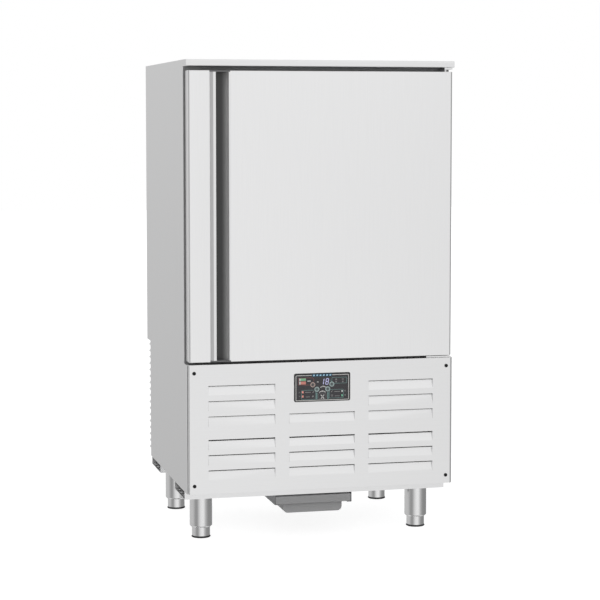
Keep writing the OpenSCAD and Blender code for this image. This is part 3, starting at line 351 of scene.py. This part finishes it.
def flatten_faces(piece):
    """Lets the large flat faces keep their own normals beside the small bent ones."""
    take(piece)
    weigh = piece.modifiers.new("flat_faces", "WEIGHTED_NORMAL")
    weigh.keep_sharp = True
    weigh.weight = 100
    bpy.ops.object.modifier_apply(modifier=weigh.name)


def twin(piece, shift, name):
    """A copy with its own mesh, moved by shift."""
    take(piece)
    bpy.ops.object.duplicate(linked=False)
    copy = bpy.context.object
    copy.name = name
    copy.location = Vector(copy.location) + Vector(shift)
    return copy


def slab(low, high):
    """A block between two corners."""
    clear_hands()
    middle = [(a + b) / 2 for a, b in zip(low, high)]
    bpy.ops.mesh.primitive_cube_add(size=1, location=middle)
    piece = bpy.context.object
    piece.scale = [b - a for a, b in zip(low, high)]
    settle(piece)
    return piece


def rod(x, z, radius, y0, y1, sides):
    """A cylinder from front to back."""
    clear_hands()
    bpy.ops.mesh.primitive_cylinder_add(vertices=sides, radius=radius, depth=y1 - y0,
        location=(x, (y0 + y1) / 2, z), rotation=(math.pi / 2, 0, 0))
    piece = bpy.context.object
    settle(piece)
    return piece


def pick_faces(test):
    """In edit mode, selects the faces whose normal passes the test."""
    bpy.ops.mesh.select_mode(type="FACE")
    bpy.ops.mesh.select_all(action="DESELECT")
    mesh = bmesh.from_edit_mesh(bpy.context.object.data)
    for face in mesh.faces:
        face.select = test(face.normal)
    bmesh.update_edit_mesh(bpy.context.object.data)


def pick_edges(test):
    """In edit mode, selects the edges between two faces that pass the test."""
    bpy.ops.mesh.select_mode(type="EDGE")
    bpy.ops.mesh.select_all(action="DESELECT")
    mesh = bmesh.from_edit_mesh(bpy.context.object.data)
    for edge in mesh.edges:
        if len(edge.link_faces) == 2 and test(edge):
            edge.select = True
    bmesh.update_edit_mesh(bpy.context.object.data)


def pick_points(test):
    """In edit mode, selects the points whose place passes the test, and what lies between."""
    bpy.ops.mesh.select_mode(type="VERT")
    bpy.ops.mesh.select_all(action="DESELECT")
    mesh = bmesh.from_edit_mesh(bpy.context.object.data)
    for vert in mesh.verts:
        vert.select = test(vert.co)
    mesh.select_flush_mode()
    bmesh.update_edit_mesh(bpy.context.object.data)


def edge_middle(edge):
    """The point halfway along an edge."""
    return (edge.verts[0].co + edge.verts[1].co) / 2


def ease(piece, width):
    """Rounds the piece's sharp edges."""
    take(piece)
    bevel = piece.modifiers.new("eased_edges", "BEVEL")
    bevel.width = width
    bevel.segments = 2
    bevel.limit_method = "ANGLE"
    bevel.angle_limit = math.radians(EASE_ANGLE)
    bpy.ops.object.modifier_apply(modifier=bevel.name)


def merged_copy(node_name, name):
    """A copy of a node's mesh with its triangles joined up and its flat faces made whole."""
    copy = twin(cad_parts[node_name], (0, 0, 0), name)
    bpy.ops.object.mode_set(mode="EDIT")
    bpy.ops.mesh.select_all(action="SELECT")
    bpy.ops.mesh.remove_doubles(threshold=MERGE)
    bpy.ops.mesh.dissolve_limited(angle_limit=math.radians(FLAT))
    bpy.ops.object.mode_set(mode="OBJECT")
    return copy


# ---- control print ----

# the bezel's front, set back by BEZEL_BACK so that its print stays inside the box
BEZEL_BACK = 0.00015
BEZEL_EASE = 0.0004
RIM_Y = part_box("control_bezel")[0][1] + BEZEL_BACK
FACE_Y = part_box("control_face")[0][1]
KEY_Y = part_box("key_upper_left")[0][1]
# half the thickness of a printed mark
PRINT = 0.00006
# the marks below were measured, in mm, with the middle of the bezel at this height
PRINT_MIDDLE = 0.44925
PRINT_LIFT = (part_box("control_bezel")[0][2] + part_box("control_bezel")[1][2]) / 2 - PRINT_MIDDLE

# where the bars of a display digit start and end, as shares of its width and height
DIGIT_BARS = {"a": (0, 1, 1, 1), "b": (1, 0.5, 1, 1), "c": (1, 0, 1, 0.5), "d": (0, 0, 1, 0),
    "e": (0, 0, 0, 0.5), "f": (0, 0.5, 0, 1), "g": (0, 0.5, 1, 0.5)}
DIGIT_LEAN = 2.4
DIGIT_GAP = 0.35


def mark(x0, z0, x1, z1, lean=0.0, front=FACE_Y):
    """A printed bar; lean pushes its upper edge to the right."""
    piece = slab((x0 * MM, front - PRINT, z0 * MM), (x1 * MM, front + PRINT, z1 * MM))
    if lean:
        bpy.ops.object.mode_set(mode="EDIT")
        pick_faces(lambda normal: normal.z > ALONG)
        bpy.ops.transform.translate(value=(lean * MM, 0, 0))
        bpy.ops.object.mode_set(mode="OBJECT")
    return piece


def stroke(x0, z0, x1, z1, width, front=FACE_Y):
    """A printed line between two points."""
    half_x, half_z = math.hypot(x1 - x0, z1 - z0) / 2 * MM, width / 2 * MM
    piece = slab((-half_x, -PRINT, -half_z), (half_x, PRINT, half_z))
    piece.rotation_euler = (0, -math.atan2(z1 - z0, x1 - x0), 0)
    piece.location = ((x0 + x1) / 2 * MM, front, (z0 + z1) / 2 * MM)
    settle(piece)
    return piece


def outline(x0, z0, x1, z1, line, corner, front=FACE_Y):
    """A printed frame with rounded corners."""
    clear_hands()
    bpy.ops.mesh.primitive_plane_add(size=1, location=((x0 + x1) / 2 * MM, front - PRINT,
        (z0 + z1) / 2 * MM), rotation=(math.pi / 2, 0, 0))
    piece = bpy.context.object
    piece.scale = ((x1 - x0) * MM, (z1 - z0) * MM, 1)
    settle(piece)
    bpy.ops.object.mode_set(mode="EDIT")
    bpy.ops.mesh.select_all(action="SELECT")
    bpy.ops.mesh.bevel(offset=corner * MM, segments=4, affect="VERTICES")
    bpy.ops.mesh.select_all(action="SELECT")
    bpy.ops.mesh.inset(thickness=line * MM)
    bpy.ops.mesh.delete(type="FACE")
    bpy.ops.mesh.select_all(action="SELECT")
    bpy.ops.mesh.extrude_region_move(TRANSFORM_OT_translate={"value": (0, 2 * PRINT, 0)})
    bpy.ops.mesh.select_all(action="SELECT")
    bpy.ops.mesh.normals_make_consistent(inside=False)
    bpy.ops.object.mode_set(mode="OBJECT")
    return piece


def disc(x, z, radius, front=FACE_Y):
    """A printed dot."""
    return rod(x * MM, z * MM, radius * MM, front - PRINT, front + PRINT, 20)


def ring(x, z, radius, line, front=FACE_Y):
    """A printed ring, laid as a flattened torus."""
    clear_hands()
    bpy.ops.mesh.primitive_torus_add(major_segments=40, minor_segments=8,
        major_radius=(radius - line / 2) * MM, minor_radius=line / 2 * MM,
        location=(x * MM, front, z * MM), rotation=(math.pi / 2, 0, 0))
    piece = bpy.context.object
    piece.scale = (1, 1, PRINT / (line / 2 * MM))
    settle(piece)
    return piece


def star(x, z, reach, width):
    """Three printed lines that cross."""
    arms = []
    for turn in (0, 60, 120):
        dx, dz = reach * math.cos(math.radians(turn)), reach * math.sin(math.radians(turn))
        arms.append(stroke(x - dx, z - dz, x + dx, z + dz, width))
    return arms


def chevron(x, z, half, rise, width):
    """An upward arrowhead of two strokes and a filled middle."""
    return [stroke(x - half, z - rise, x, z, width), stroke(x, z, x + half, z - rise, width),
        stroke(x - half * 0.3, z - rise * 0.45, x + half * 0.3, z - rise * 0.45, width * 0.9)]


def seven_segment(x, z, wide, high, on, width=2.1):
    """One display digit: x, z is its lower left corner and on names its lit segments."""
    def at(u, v):
        return x + u * wide + v * DIGIT_LEAN, z + v * high
    bars = []
    for name in on:
        u0, v0, u1, v1 = DIGIT_BARS[name]
        (ax, az), (bx, bz) = at(u0, v0), at(u1, v1)
        cut = DIGIT_GAP / math.hypot(bx - ax, bz - az)
        bars.append(stroke(ax + (bx - ax) * cut, az + (bz - az) * cut,
            bx - (bx - ax) * cut, bz - (bz - az) * cut, width))
    return bars


def print_layer(name, parts, colour, body="cabinet",
        lift=PRINT_LIFT):
    """Joins marks of one colour into a piece and lifts it to its height on the control."""
    piece = join(parts, name)
    piece.location.z += lift
    mount_piece(piece, colour, body)


def control_print():
    """The lines, lamps and figures of the control's face."""
    print_layer("print_silver_line", [outline(-79.2, 411.0, 79.2, 485.3, 1.7, 3, RIM_Y)],
        SILVER_INK)
    print_layer("print_teal_lines", [
        outline(28, 458.8, 73, 476.8, 0.9, 2.5), outline(-62.4, 414.2, -20, 441.8, 0.9, 2.5),
        outline(21, 416.3, 63.2, 441.9, 0.9, 2.5), mark(-18.0, 413.8, -14.8, 434),
        mark(15.2, 413.6, 18.4, 434), stroke(28, 464, 24, 470, 0.9),
        stroke(-24, 441.4, -19, 438.6, 0.9), stroke(24, 441.4, 20, 438.6, 0.9)], TEAL_INK)
    print_layer("print_red_lines", [
        stroke(-70.8, 457.4, -38, 456.6, 0.8), stroke(-70.8, 457.4, -70.8, 477, 0.8),
        stroke(-70.8, 477, -29, 477.4, 0.8), stroke(-29, 477.4, -25.2, 474, 0.8),
        stroke(-25.2, 474, -25.2, 466, 0.8)], RED_INK)
    print_layer("print_green_patch", [mark(-64.6, 469.3, -48.8, 476.2)], GREEN_INK)
    print_layer("print_salmon_patch", [mark(-64.6, 458.8, -48.8, 467.4)], SALMON_INK)
    white = [mark(-68.8, 469.3, -64.6, 476.2), mark(-68.8, 458.8, -64.6, 467.4),
        mark(-44.8, 466.6, -34.4, 469.4), mark(-16.6, 463.6, -11.0, 465.8),
        stroke(-4.4, 427.2, 5.2, 415.8, 2.6), stroke(-4.2, 415.8, 5.4, 427.2, 2.6)]
    white += chevron(2.6, 452.6, 8.6, 4.2, 2.1) + chevron(0.3, 438.9, 9.6, 4.6, 2.1)
    print_layer("print_white_marks", white, WHITE_INK)
    grey = [mark(-51, 434.5, -34.4, 436.3), mark(-49, 421.4, -37.2, 423.1),
        mark(36.2, 434.4, 52.4, 436.1), mark(37.6, 421.6, 51.6, 423.2),
        disc(41.2, 470.6, 2.4), mark(39.2, 461.8, 43.2, 465.4),
        stroke(57.6, 471.6, 64.2, 471.6, 1.5),
        stroke(58.4, 468.6, 63.4, 468.6, 1.2), mark(58.8, 461.6, 63.0, 465.0),
        stroke(-29, 434.2, -24.6, 437.6, 2.0), disc(-27.9, 423.3, 2.6),
        stroke(26.2, 434.2, 30.4, 438.2, 2.0), stroke(26.0, 425.8, 31.6, 425.8, 1.3),
        stroke(26.4, 424.8, 28.8, 420.8, 1.2), stroke(31.2, 424.8, 28.8, 420.8, 1.2),
        ring(68.0, 436.7, 2.2, 0.9), ring(68.0, 424.0, 2.2, 0.9),
        outline(-11, 414.6, 11.4, 432.2, 0.7, 3)]
    grey += star(-68.1, 435.7, 2.2, 0.7) + star(-68.1, 424.7, 2.2, 0.7)
    print_layer("print_grey_marks", grey, GREY_INK)
    band = slab((-31 * MM, RIM_Y - PRINT, 480.2 * MM), (29 * MM, FACE_Y, 488.4 * MM))
    print_layer("print_status_band", [band], NIGHT_INK)
    print_layer("print_status_bars", [mark(x - 2.8, 482.2, x + 2.0, 486.2, 1.0, RIM_Y - PRINT)
        for x in (-25.0, -15.3, -5.6, 4.1, 13.8, 23.5)], STATUS_GLOW)
    print_layer("print_display_digits", seven_segment(2.8, 457.2, 0, 16.4, "ef", 2.2)
        + seven_segment(9.6, 457.2, 7.2, 16.4, "abcdefg"), DIGIT_GLOW)
    print_layer("print_red_lamps", [mark(-60.6, 433.2, -55.8, 439.4),
        mark(-60.6, 420.8, -55.8, 426.8)], RED_GLOW)
    print_layer("print_white_lamp", [mark(57.2, 433.4, 60.8, 438.6)], WHITE_GLOW)
    print_layer("print_green_lamp", [mark(57.2, 420.6, 60.8, 426.4)], GREEN_GLOW)


def key_print():
    """A ring and a small sign on each key; they move with it."""
    for name, ring_ink in (("key_upper_left", PINK_RING_INK), ("key_lower_left", TEAL_RING_INK),
            ("key_lower_right", TEAL_RING_INK), ("key_upper_right", TEAL_RING_INK)):
        low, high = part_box(name)
        x, z = (low[0] + high[0]) / 2 / MM, (low[2] + high[2]) / 2 / MM
        print_layer(name + "_ring", [ring(x, z, 7.2, 1.9, KEY_Y)], ring_ink,
            name, 0)
        if name == "key_upper_left":
            sign = [stroke(x - 1.8, z - 2.4, x + 1.2, z + 2.6, 1.7, KEY_Y),
                stroke(x - 0.6, z - 0.6, x + 2.0, z + 0.2, 1.5, KEY_Y)]
        elif name == "key_lower_left":
            sign = [stroke(x - 2.4, z - 1.4, x, z + 1.8, 1.3, KEY_Y),
                stroke(x, z + 1.8, x + 2.4, z - 1.4, 1.3, KEY_Y)]
        elif name == "key_lower_right":
            sign = [stroke(x - 2.6, z + 0.6, x + 2.6, z + 0.6, 2.2, KEY_Y),
                stroke(x - 1.2, z - 1.8, x + 1.2, z - 1.8, 1.2, KEY_Y)]
        else:
            sign = [ring(x, z, 3.0, 1.1, KEY_Y), disc(x, z, 0.9, KEY_Y)]
        print_layer(name + "_sign", sign, DARK_INK, name, 0)


def bezel_moulding():
    """The bezel with its front set back under its print and with softened edges."""
    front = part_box("control_bezel")[0][1]
    bezel = merged_copy("control_bezel", "bezel_moulding")
    bpy.ops.object.mode_set(mode="EDIT")
    pick_points(lambda point: point.y < front + CLOSE)
    bpy.ops.transform.translate(value=(0, BEZEL_BACK, 0))
    bpy.ops.object.mode_set(mode="OBJECT")
    ease(bezel, BEZEL_EASE)
    mount_piece(bezel, BLACK_PLASTIC, "cabinet", 35)
    flatten_faces(bezel)
    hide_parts("control_bezel")


# ---- screws ----

HEAD_RADIUS, HEAD_HIGH, HEAD_DOME = 0.00525, 0.002, 0.0012
SOCKET_RADIUS, SOCKET_FLOOR, SOCKET_CUT = 0.0019, 0.0005, 0.003
SHANK_RADIUS, SHANK_LENGTH, SHANK_OVERLAP = 0.0025, 0.009, 0.0002


def panel_screw_heads():
    """Domed black heads with a hexagon socket, on their shanks."""
    low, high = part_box("panel_screws")
    y = low[1] + HEAD_HIGH
    head = rod(0, 0, HEAD_RADIUS, low[1], y, 36)
    bpy.ops.object.mode_set(mode="EDIT")
    pick_faces(lambda normal: normal.y < -ALONG)
    bpy.ops.mesh.bevel(offset=HEAD_DOME, segments=4)
    bpy.ops.object.mode_set(mode="OBJECT")
    socket = rod(0, 0, SOCKET_RADIUS, y - SOCKET_FLOOR - SOCKET_CUT, y - SOCKET_FLOOR, 6)
    take(head)
    cut = head.modifiers.new("socket", "BOOLEAN")
    cut.operation = "DIFFERENCE"
    cut.object = socket
    bpy.ops.object.modifier_apply(modifier=cut.name)
    bpy.data.objects.remove(socket)
    shank = rod(0, 0, SHANK_RADIUS, y - SHANK_OVERLAP, y + SHANK_LENGTH, 24)
    screw = join([head, shank], "panel_screw")
    copies = [twin(screw, (x, 0, z), "panel_screw_copy")
        for x in (low[0] + HEAD_RADIUS, high[0] - HEAD_RADIUS)
        for z in (low[2] + HEAD_RADIUS, high[2] - HEAD_RADIUS)]
    bpy.data.objects.remove(screw)
    for copy in copies:
        settle(copy)
    screws = join(copies, "panel_screws_black")
    mount_piece(screws, SCREW_BLACK, "cabinet")
    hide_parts("panel_screws")


# ---- fan guards ----

GUARD_RINGS = 9
RING_WIRE, RING_INSET = 0.0012, 0.0013
SPOKE_WIRE, SPOKE_SHORT, SPOKE_BACK = 0.0013, 0.002, 0.0002
PLATE_RADIUS, PLATE_THICK, PLATE_EASE = 0.022, 0.0026, 0.0005


def fan_guard_wires():
    """Round wire rings on four spokes, with a plate in the middle, one guard per fan."""
    low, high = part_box("evaporator_fan_guards")
    y = (low[1] + high[1]) / 2
    reach = (high[0] - low[0]) / 2
    guards = []
    for fan in ("evaporator_fan_upper", "evaporator_fan_lower"):
        z = (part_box(fan)[0][2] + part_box(fan)[1][2]) / 2
        wires = []
        for i in range(1, GUARD_RINGS + 1):
            clear_hands()
            bpy.ops.mesh.primitive_torus_add(major_segments=72, minor_segments=8,
                major_radius=reach * i / GUARD_RINGS - RING_INSET, minor_radius=RING_WIRE,
                location=(0, y, z), rotation=(math.pi / 2, 0, 0))
            wires.append(bpy.context.object)
        for turn in (45, 135):
            clear_hands()
            bpy.ops.mesh.primitive_cylinder_add(vertices=10, radius=SPOKE_WIRE,
                depth=2 * reach - SPOKE_SHORT, location=(0, y + SPOKE_BACK, z),
                rotation=(0, math.radians(turn), 0))
            wires.append(bpy.context.object)
        plate = rod(0, z, PLATE_RADIUS, y - PLATE_THICK / 2, y + PLATE_THICK / 2, 40)
        ease(plate, PLATE_EASE)
        wires.append(plate)
        for wire in wires:
            settle(wire)
        guards.append(join(wires, "guard"))
    piece = join(guards, "fan_guard_wires")
    mount_piece(piece, WIRE_STEEL, "cabinet", 50)
    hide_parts("evaporator_fan_guards")


# ---- gasket ----

# the gasket's beads: how far inside its outline they run, their half width, and where they start
# and end as shares of its depth
GASKET_BEADS = ((0.008, 0.008, 0.0, 0.34), (0.0068, 0.0052, 0.30, 0.62),
    (0.0082, 0.0064, 0.56, 1.0))
GASKET_CORNER = 0.008


def closed_loop(half_x, half_z, radius, y, z):
    """A closed path round the door at depth y, with rounded corners."""
    clear_hands()
    bpy.ops.mesh.primitive_plane_add(size=1, location=(0, y, z), rotation=(math.pi / 2, 0, 0))
    path = bpy.context.object
    path.scale = (2 * half_x, 2 * half_z, 1)
    settle(path)
    bpy.ops.object.mode_set(mode="EDIT")
    bpy.ops.mesh.select_all(action="SELECT")
    bpy.ops.mesh.bevel(offset=radius, segments=8, affect="VERTICES")
    bpy.ops.mesh.select_all(action="SELECT")
    bpy.ops.mesh.delete(type="ONLY_FACE")
    bpy.ops.object.mode_set(mode="OBJECT")
    bpy.ops.object.convert(target="CURVE")
    return bpy.context.object


def gasket_lips():
    """The magnetic gasket: a base strip, a pleated wall and a rounded nose, swept all round."""
    low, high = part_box("door_gasket")
    half_x = (high[0] - low[0]) / 2
    half_z = (high[2] - low[2]) / 2
    z = (high[2] + low[2]) / 2
    deep = high[1] - low[1]
    parts = []
    for inset, wide, y0, y1 in GASKET_BEADS:
        thick = (y1 - y0) * deep / 2
        y = low[1] + (y0 + y1) / 2 * deep
        path = closed_loop(half_x - inset, half_z - inset, GASKET_CORNER, y, z)
        clear_hands()
        bpy.ops.curve.primitive_bezier_circle_add(radius=1)
        section = bpy.context.object
        section.scale = (wide, thick, 1)
        settle(section)
        section.data.resolution_u = 4
        path.data.bevel_mode = "OBJECT"
        path.data.bevel_object = section
        take(path)
        bpy.ops.object.convert(target="MESH")
        parts.append(bpy.context.object)
        bpy.data.objects.remove(section)
    piece = join(parts, "gasket_lips")
    bpy.ops.object.mode_set(mode="EDIT")
    bpy.ops.mesh.select_all(action="SELECT")
    bpy.ops.mesh.remove_doubles(threshold=CLOSE)
    bpy.ops.mesh.normals_make_consistent(inside=False)
    bpy.ops.object.mode_set(mode="OBJECT")
    mount_piece(piece, GASKET, "door", 60)
    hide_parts("door_gasket")


# ---- folded sheets ----

FOLD_RADIUS = 0.0013
# a point this near a sheet's top or bottom lies on it
LEVEL = 0.0001
# how far behind a sheet's very front its front faces lie, and how near its box its sides lie
FRONT_DEEP, SIDE_NEAR = 0.0075, 0.001
# the share of a wall's normal from which it faces forward, and that of a flat front
FORWARD, FLAT_FRONT = 0.02, 0.99

# the louvres: half their length and their height, in m; the step between rows, the way from the
# middle to the sides and the tops of both blocks under the panel's top edge, in mm
LOUVRE_HALF = 0.0985
LOUVRE_HIGH = 0.028
LOUVRE_STEP = 44
LOUVRE_SIDE = 236.5
LOUVRE_TOPS = (61, 216)
# the open slots of the upper block, of the lower block's first row and of the rows under it
SLOT_HIGHS = (0.0022, 0.0045, 0.0034)
# how far behind the panel's front the blades' upper edges lie, and how near to a louvre's top
BLADE_NEAR, BLADE_FAR = 0.005, 0.0095
BLADE_LEVEL = 0.0002
# the louvres' rims lie this near the panel's front and this near their cells
RIM_NEAR, CELL_NEAR = 0.00005, 0.001
LOUVRE_EASE = 0.0009


def pick_rims(piece, test):
    """In edit mode, selects the outer edges along the piece's very top and bottom that pass the
    test on their middle and the normal of their wall."""
    corners = [piece.matrix_world @ Vector(corner) for corner in piece.bound_box]
    z0, z1 = min(c.z for c in corners), max(c.z for c in corners)

    def is_rim(edge):
        first, last = (vert.co.z for vert in edge.verts)
        level = min(abs(first - z0), abs(first - z1)) < LEVEL
        if not (level and abs(first - last) < CLOSE):
            return False
        walls = [f for f in edge.link_faces if abs(f.normal.z) < ACROSS]
        caps = [f for f in edge.link_faces if abs(f.normal.z) > ALONG]
        return len(walls) == 1 and len(caps) == 1 and test(edge_middle(edge), walls[0].normal)
    pick_edges(is_rim)


def folded_sheet(node_name, name):
    """A sheet whose upper and lower front edges are bent over a radius."""
    low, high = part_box(node_name)
    sheet = merged_copy(node_name, name)
    bpy.ops.object.mode_set(mode="EDIT")
    pick_rims(sheet, lambda middle, normal:
        (middle.y < low[1] + FRONT_DEEP and normal.y < -FORWARD)
        or (min(middle.x - low[0], high[0] - middle.x) < SIDE_NEAR and abs(normal.x) > ALONG))
    bpy.ops.mesh.bevel(offset=FOLD_RADIUS, segments=4)
    bpy.ops.object.mode_set(mode="OBJECT")
    return sheet


def pressed_louvres(sheet):
    """Opens a slot over each louvre's blade and rounds the sheet's edge along it."""
    low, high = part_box("lower_front_panel")
    tops = [high[2] - (first + LOUVRE_STEP * row) * MM for first in LOUVRE_TOPS
        for row in range(3)]
    cells = [(x * MM, top) for x in (-LOUVRE_SIDE, 0, LOUVRE_SIDE) for top in tops]
    take(sheet)
    bpy.ops.object.mode_set(mode="EDIT")
    for slot_high, group in zip(SLOT_HIGHS, (tops[:3], tops[3:4], tops[4:])):
        pick_points(lambda point: BLADE_NEAR < point.y - low[1] < BLADE_FAR
            and any(abs(point.z - top) < BLADE_LEVEL for top in group))
        bpy.ops.transform.translate(value=(0, 0, -slot_high))

    def is_louvre_rim(edge):
        if max(abs(vert.co.y - low[1]) for vert in edge.verts) > RIM_NEAR:
            return False
        normals = [face.normal for face in edge.link_faces]
        front = any(n.y < -FLAT_FRONT for n in normals)
        rim = any(abs(n.x) > ALONG or n.z < -ALONG for n in normals)
        middle = edge_middle(edge)
        return front and rim and any(abs(middle.x - x) < LOUVRE_HALF + CELL_NEAR
            and top - LOUVRE_HIGH - CELL_NEAR < middle.z < top + CELL_NEAR for x, top in cells)
    pick_edges(is_louvre_rim)
    bpy.ops.mesh.bevel(offset=LOUVRE_EASE, segments=3)
    bpy.ops.object.mode_set(mode="OBJECT")


def folded_sheets():
    """The door's skin and the lower panel with its louvres."""
    door = folded_sheet("door_skin", "door_skin_folded")
    mount_piece(door, FRONT_STEEL, "door", 35)
    flatten_faces(door)
    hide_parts("door_skin")
    panel = folded_sheet("lower_front_panel", "lower_panel_folded")
    pressed_louvres(panel)
    mount_piece(panel, PANEL_STEEL, "cabinet", 35)
    flatten_faces(panel)
    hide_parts("lower_front_panel")


# ---- tray ----

TRAY_EASE = 0.0005


def drip_tray_moulding():
    """The drip tray with the soft edges of a moulding."""
    tray = merged_copy("drip_tray", "drip_tray_moulding")
    ease(tray, TRAY_EASE)
    mount_piece(tray, TRAY_GREY, "drip_tray", 35)
    flatten_faces(tray)
    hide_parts("drip_tray")


bezel_moulding()
control_print()
key_print()
panel_screw_heads()
fan_guard_wires()
gasket_lips()
folded_sheets()
drip_tray_moulding()


# ---- studio ----

FLOOR_SIZE = 40
FLOOR_TONE = 0.34
FLOOR_GLOW = 0.87
# how bright the room is by its direction: degrees to the right of straight ahead of the door
ROOM_TONES = ((-180, 0.74), (-150, 0.78), (-118, 0.72), (-98, 0.66), (-82, 0.50), (-68, 0.39),
    (-55, 0.37), (-43, 0.46), (-30, 0.72), (-15, 0.93), (0, 1.02), (12, 1.04), (22, 0.95),
    (35, 0.65), (48, 0.50), (62, 0.36), (80, 0.32), (130, 0.34), (155, 0.56), (180, 0.74))
# behind the object the room darkens by this much towards the floor
BACK_FALL = 0.85
# the walls turn into an even ceiling and floor between these shares of straight up or down
STEEP_FROM, STEEP_TO = 0.5, 0.9
CEILING_TONE = 1.0


def studio_floor():
    """Pale floor, near white to the camera, that takes the object's shadow; the metal reflects
    the room in its place."""
    clear_hands()
    bpy.ops.mesh.primitive_plane_add(size=FLOOR_SIZE, location=(0, 0, 0))
    floor = bpy.context.object
    floor.name = "studio_floor"
    mat = bpy.data.materials.new("studio_floor_white")
    mat.use_nodes = True
    tree = mat.node_tree
    tree.nodes.clear()
    out = tree.nodes.new("ShaderNodeOutputMaterial")
    diffuse = tree.nodes.new("ShaderNodeBsdfDiffuse")
    diffuse.inputs["Color"].default_value = (FLOOR_TONE, FLOOR_TONE, FLOOR_TONE, 1)
    glow = tree.nodes.new("ShaderNodeEmission")
    path = tree.nodes.new("ShaderNodeLightPath")
    tree.links.new(node_math(tree, "MULTIPLY", path.outputs["Is Camera Ray"], FLOOR_GLOW),
        glow.inputs["Strength"])
    both = tree.nodes.new("ShaderNodeAddShader")
    tree.links.new(diffuse.outputs[0], both.inputs[0])
    tree.links.new(glow.outputs[0], both.inputs[1])
    clear = tree.nodes.new("ShaderNodeBsdfTransparent")
    mix = tree.nodes.new("ShaderNodeMixShader")
    tree.links.new(path.outputs["Is Glossy Ray"], mix.inputs["Fac"])
    tree.links.new(both.outputs[0], mix.inputs[1])
    tree.links.new(clear.outputs[0], mix.inputs[2])
    tree.links.new(mix.outputs[0], out.inputs["Surface"])
    floor.data.materials.append(mat)


def studio_world():
    """White room with dark screens at both sides, and white to the camera."""
    world = bpy.data.worlds.new("studio_room")
    bpy.context.scene.world = world
    world.use_nodes = True
    tree = world.node_tree
    tree.nodes.clear()
    out = tree.nodes.new("ShaderNodeOutputWorld")
    place = tree.nodes.new("ShaderNodeTexCoord")
    axes = tree.nodes.new("ShaderNodeSeparateXYZ")
    tree.links.new(place.outputs["Generated"], axes.inputs[0])
    ahead = node_math(tree, "MULTIPLY", axes.outputs["Y"], -1.0)
    angle = node_math(tree, "ARCTAN2", axes.outputs["X"], ahead)
    ramp = tree.nodes.new("ShaderNodeValToRGB")
    ramp.color_ramp.interpolation = "EASE"
    points = ramp.color_ramp.elements
    while len(points) < len(ROOM_TONES):
        points.new(0.5)
    for point, (degrees, tone) in zip(points, ROOM_TONES):
        point.position = (degrees + 180) / 360
        point.color = (tone, tone, tone, 1)
    tree.links.new(span(tree, angle, -math.pi, math.pi, 0.0, 1.0), ramp.inputs["Fac"])
    behind = node_math(tree, "MAXIMUM", axes.outputs["Y"], 0.0)
    fall = node_math(tree, "MULTIPLY",
        node_math(tree, "MULTIPLY", behind, axes.outputs["Z"]), BACK_FALL)
    walls = tree.nodes.new("ShaderNodeVectorMath")
    walls.operation = "SCALE"
    tree.links.new(ramp.outputs["Color"], walls.inputs[0])
    tree.links.new(node_math(tree, "ADD", fall, 1.0), walls.inputs["Scale"])
    steep = node_math(tree, "ABSOLUTE", axes.outputs["Z"], 0.0)
    blend = tree.nodes.new("ShaderNodeMix")
    blend.data_type = "RGBA"
    blend.inputs["B"].default_value = (CEILING_TONE, CEILING_TONE, CEILING_TONE, 1)
    tree.links.new(span(tree, steep, STEEP_FROM, STEEP_TO, 0.0, 1.0), blend.inputs["Factor"])
    tree.links.new(walls.outputs["Vector"], blend.inputs["A"])
    room = tree.nodes.new("ShaderNodeBackground")
    tree.links.new(blend.outputs["Result"], room.inputs["Color"])
    white = tree.nodes.new("ShaderNodeBackground")
    white.inputs["Color"].default_value = (1, 1, 1, 1)
    path = tree.nodes.new("ShaderNodeLightPath")
    mix = tree.nodes.new("ShaderNodeMixShader")
    tree.links.new(path.outputs["Is Camera Ray"], mix.inputs["Fac"])
    tree.links.new(room.outputs[0], mix.inputs[1])
    tree.links.new(white.outputs[0], mix.inputs[2])
    tree.links.new(mix.outputs[0], out.inputs["Surface"])


def soft_box(name, place, aim, size, power):
    """A square lamp, turned to what it lights."""
    clear_hands()
    bpy.ops.object.light_add(type="AREA", location=place)
    lamp = bpy.context.object
    lamp.name = name
    lamp.data.shape = "SQUARE"
    lamp.data.size = size
    lamp.data.energy = power
    turn = (Vector(aim) - Vector(place)).to_track_quat("-Z", "Y")
    lamp.rotation_euler = turn.to_euler()


def camera():
    """Stands left of the middle, a little below the top, and sees the front and the left side."""
    clear_hands()
    bpy.ops.object.camera_add(location=(-1.32474, -5.53548, 1.21524),
        rotation=(math.pi / 2 - 0.07598, 0, -0.2385))
    cam = bpy.context.object
    cam.name = "photo_camera"
    cam.data.sensor_width = 36
    cam.data.lens = 111.976
    cam.data.shift_y = -0.06
    cam.data.clip_end = 100
    bpy.context.scene.camera = cam


bpy.context.scene.view_settings.view_transform = "Standard"
studio_floor()
studio_world()
soft_box("front_soft_box", (1.6, -4.2, 3.2), (0, 0, 0.8), size=2.4, power=5)
camera()
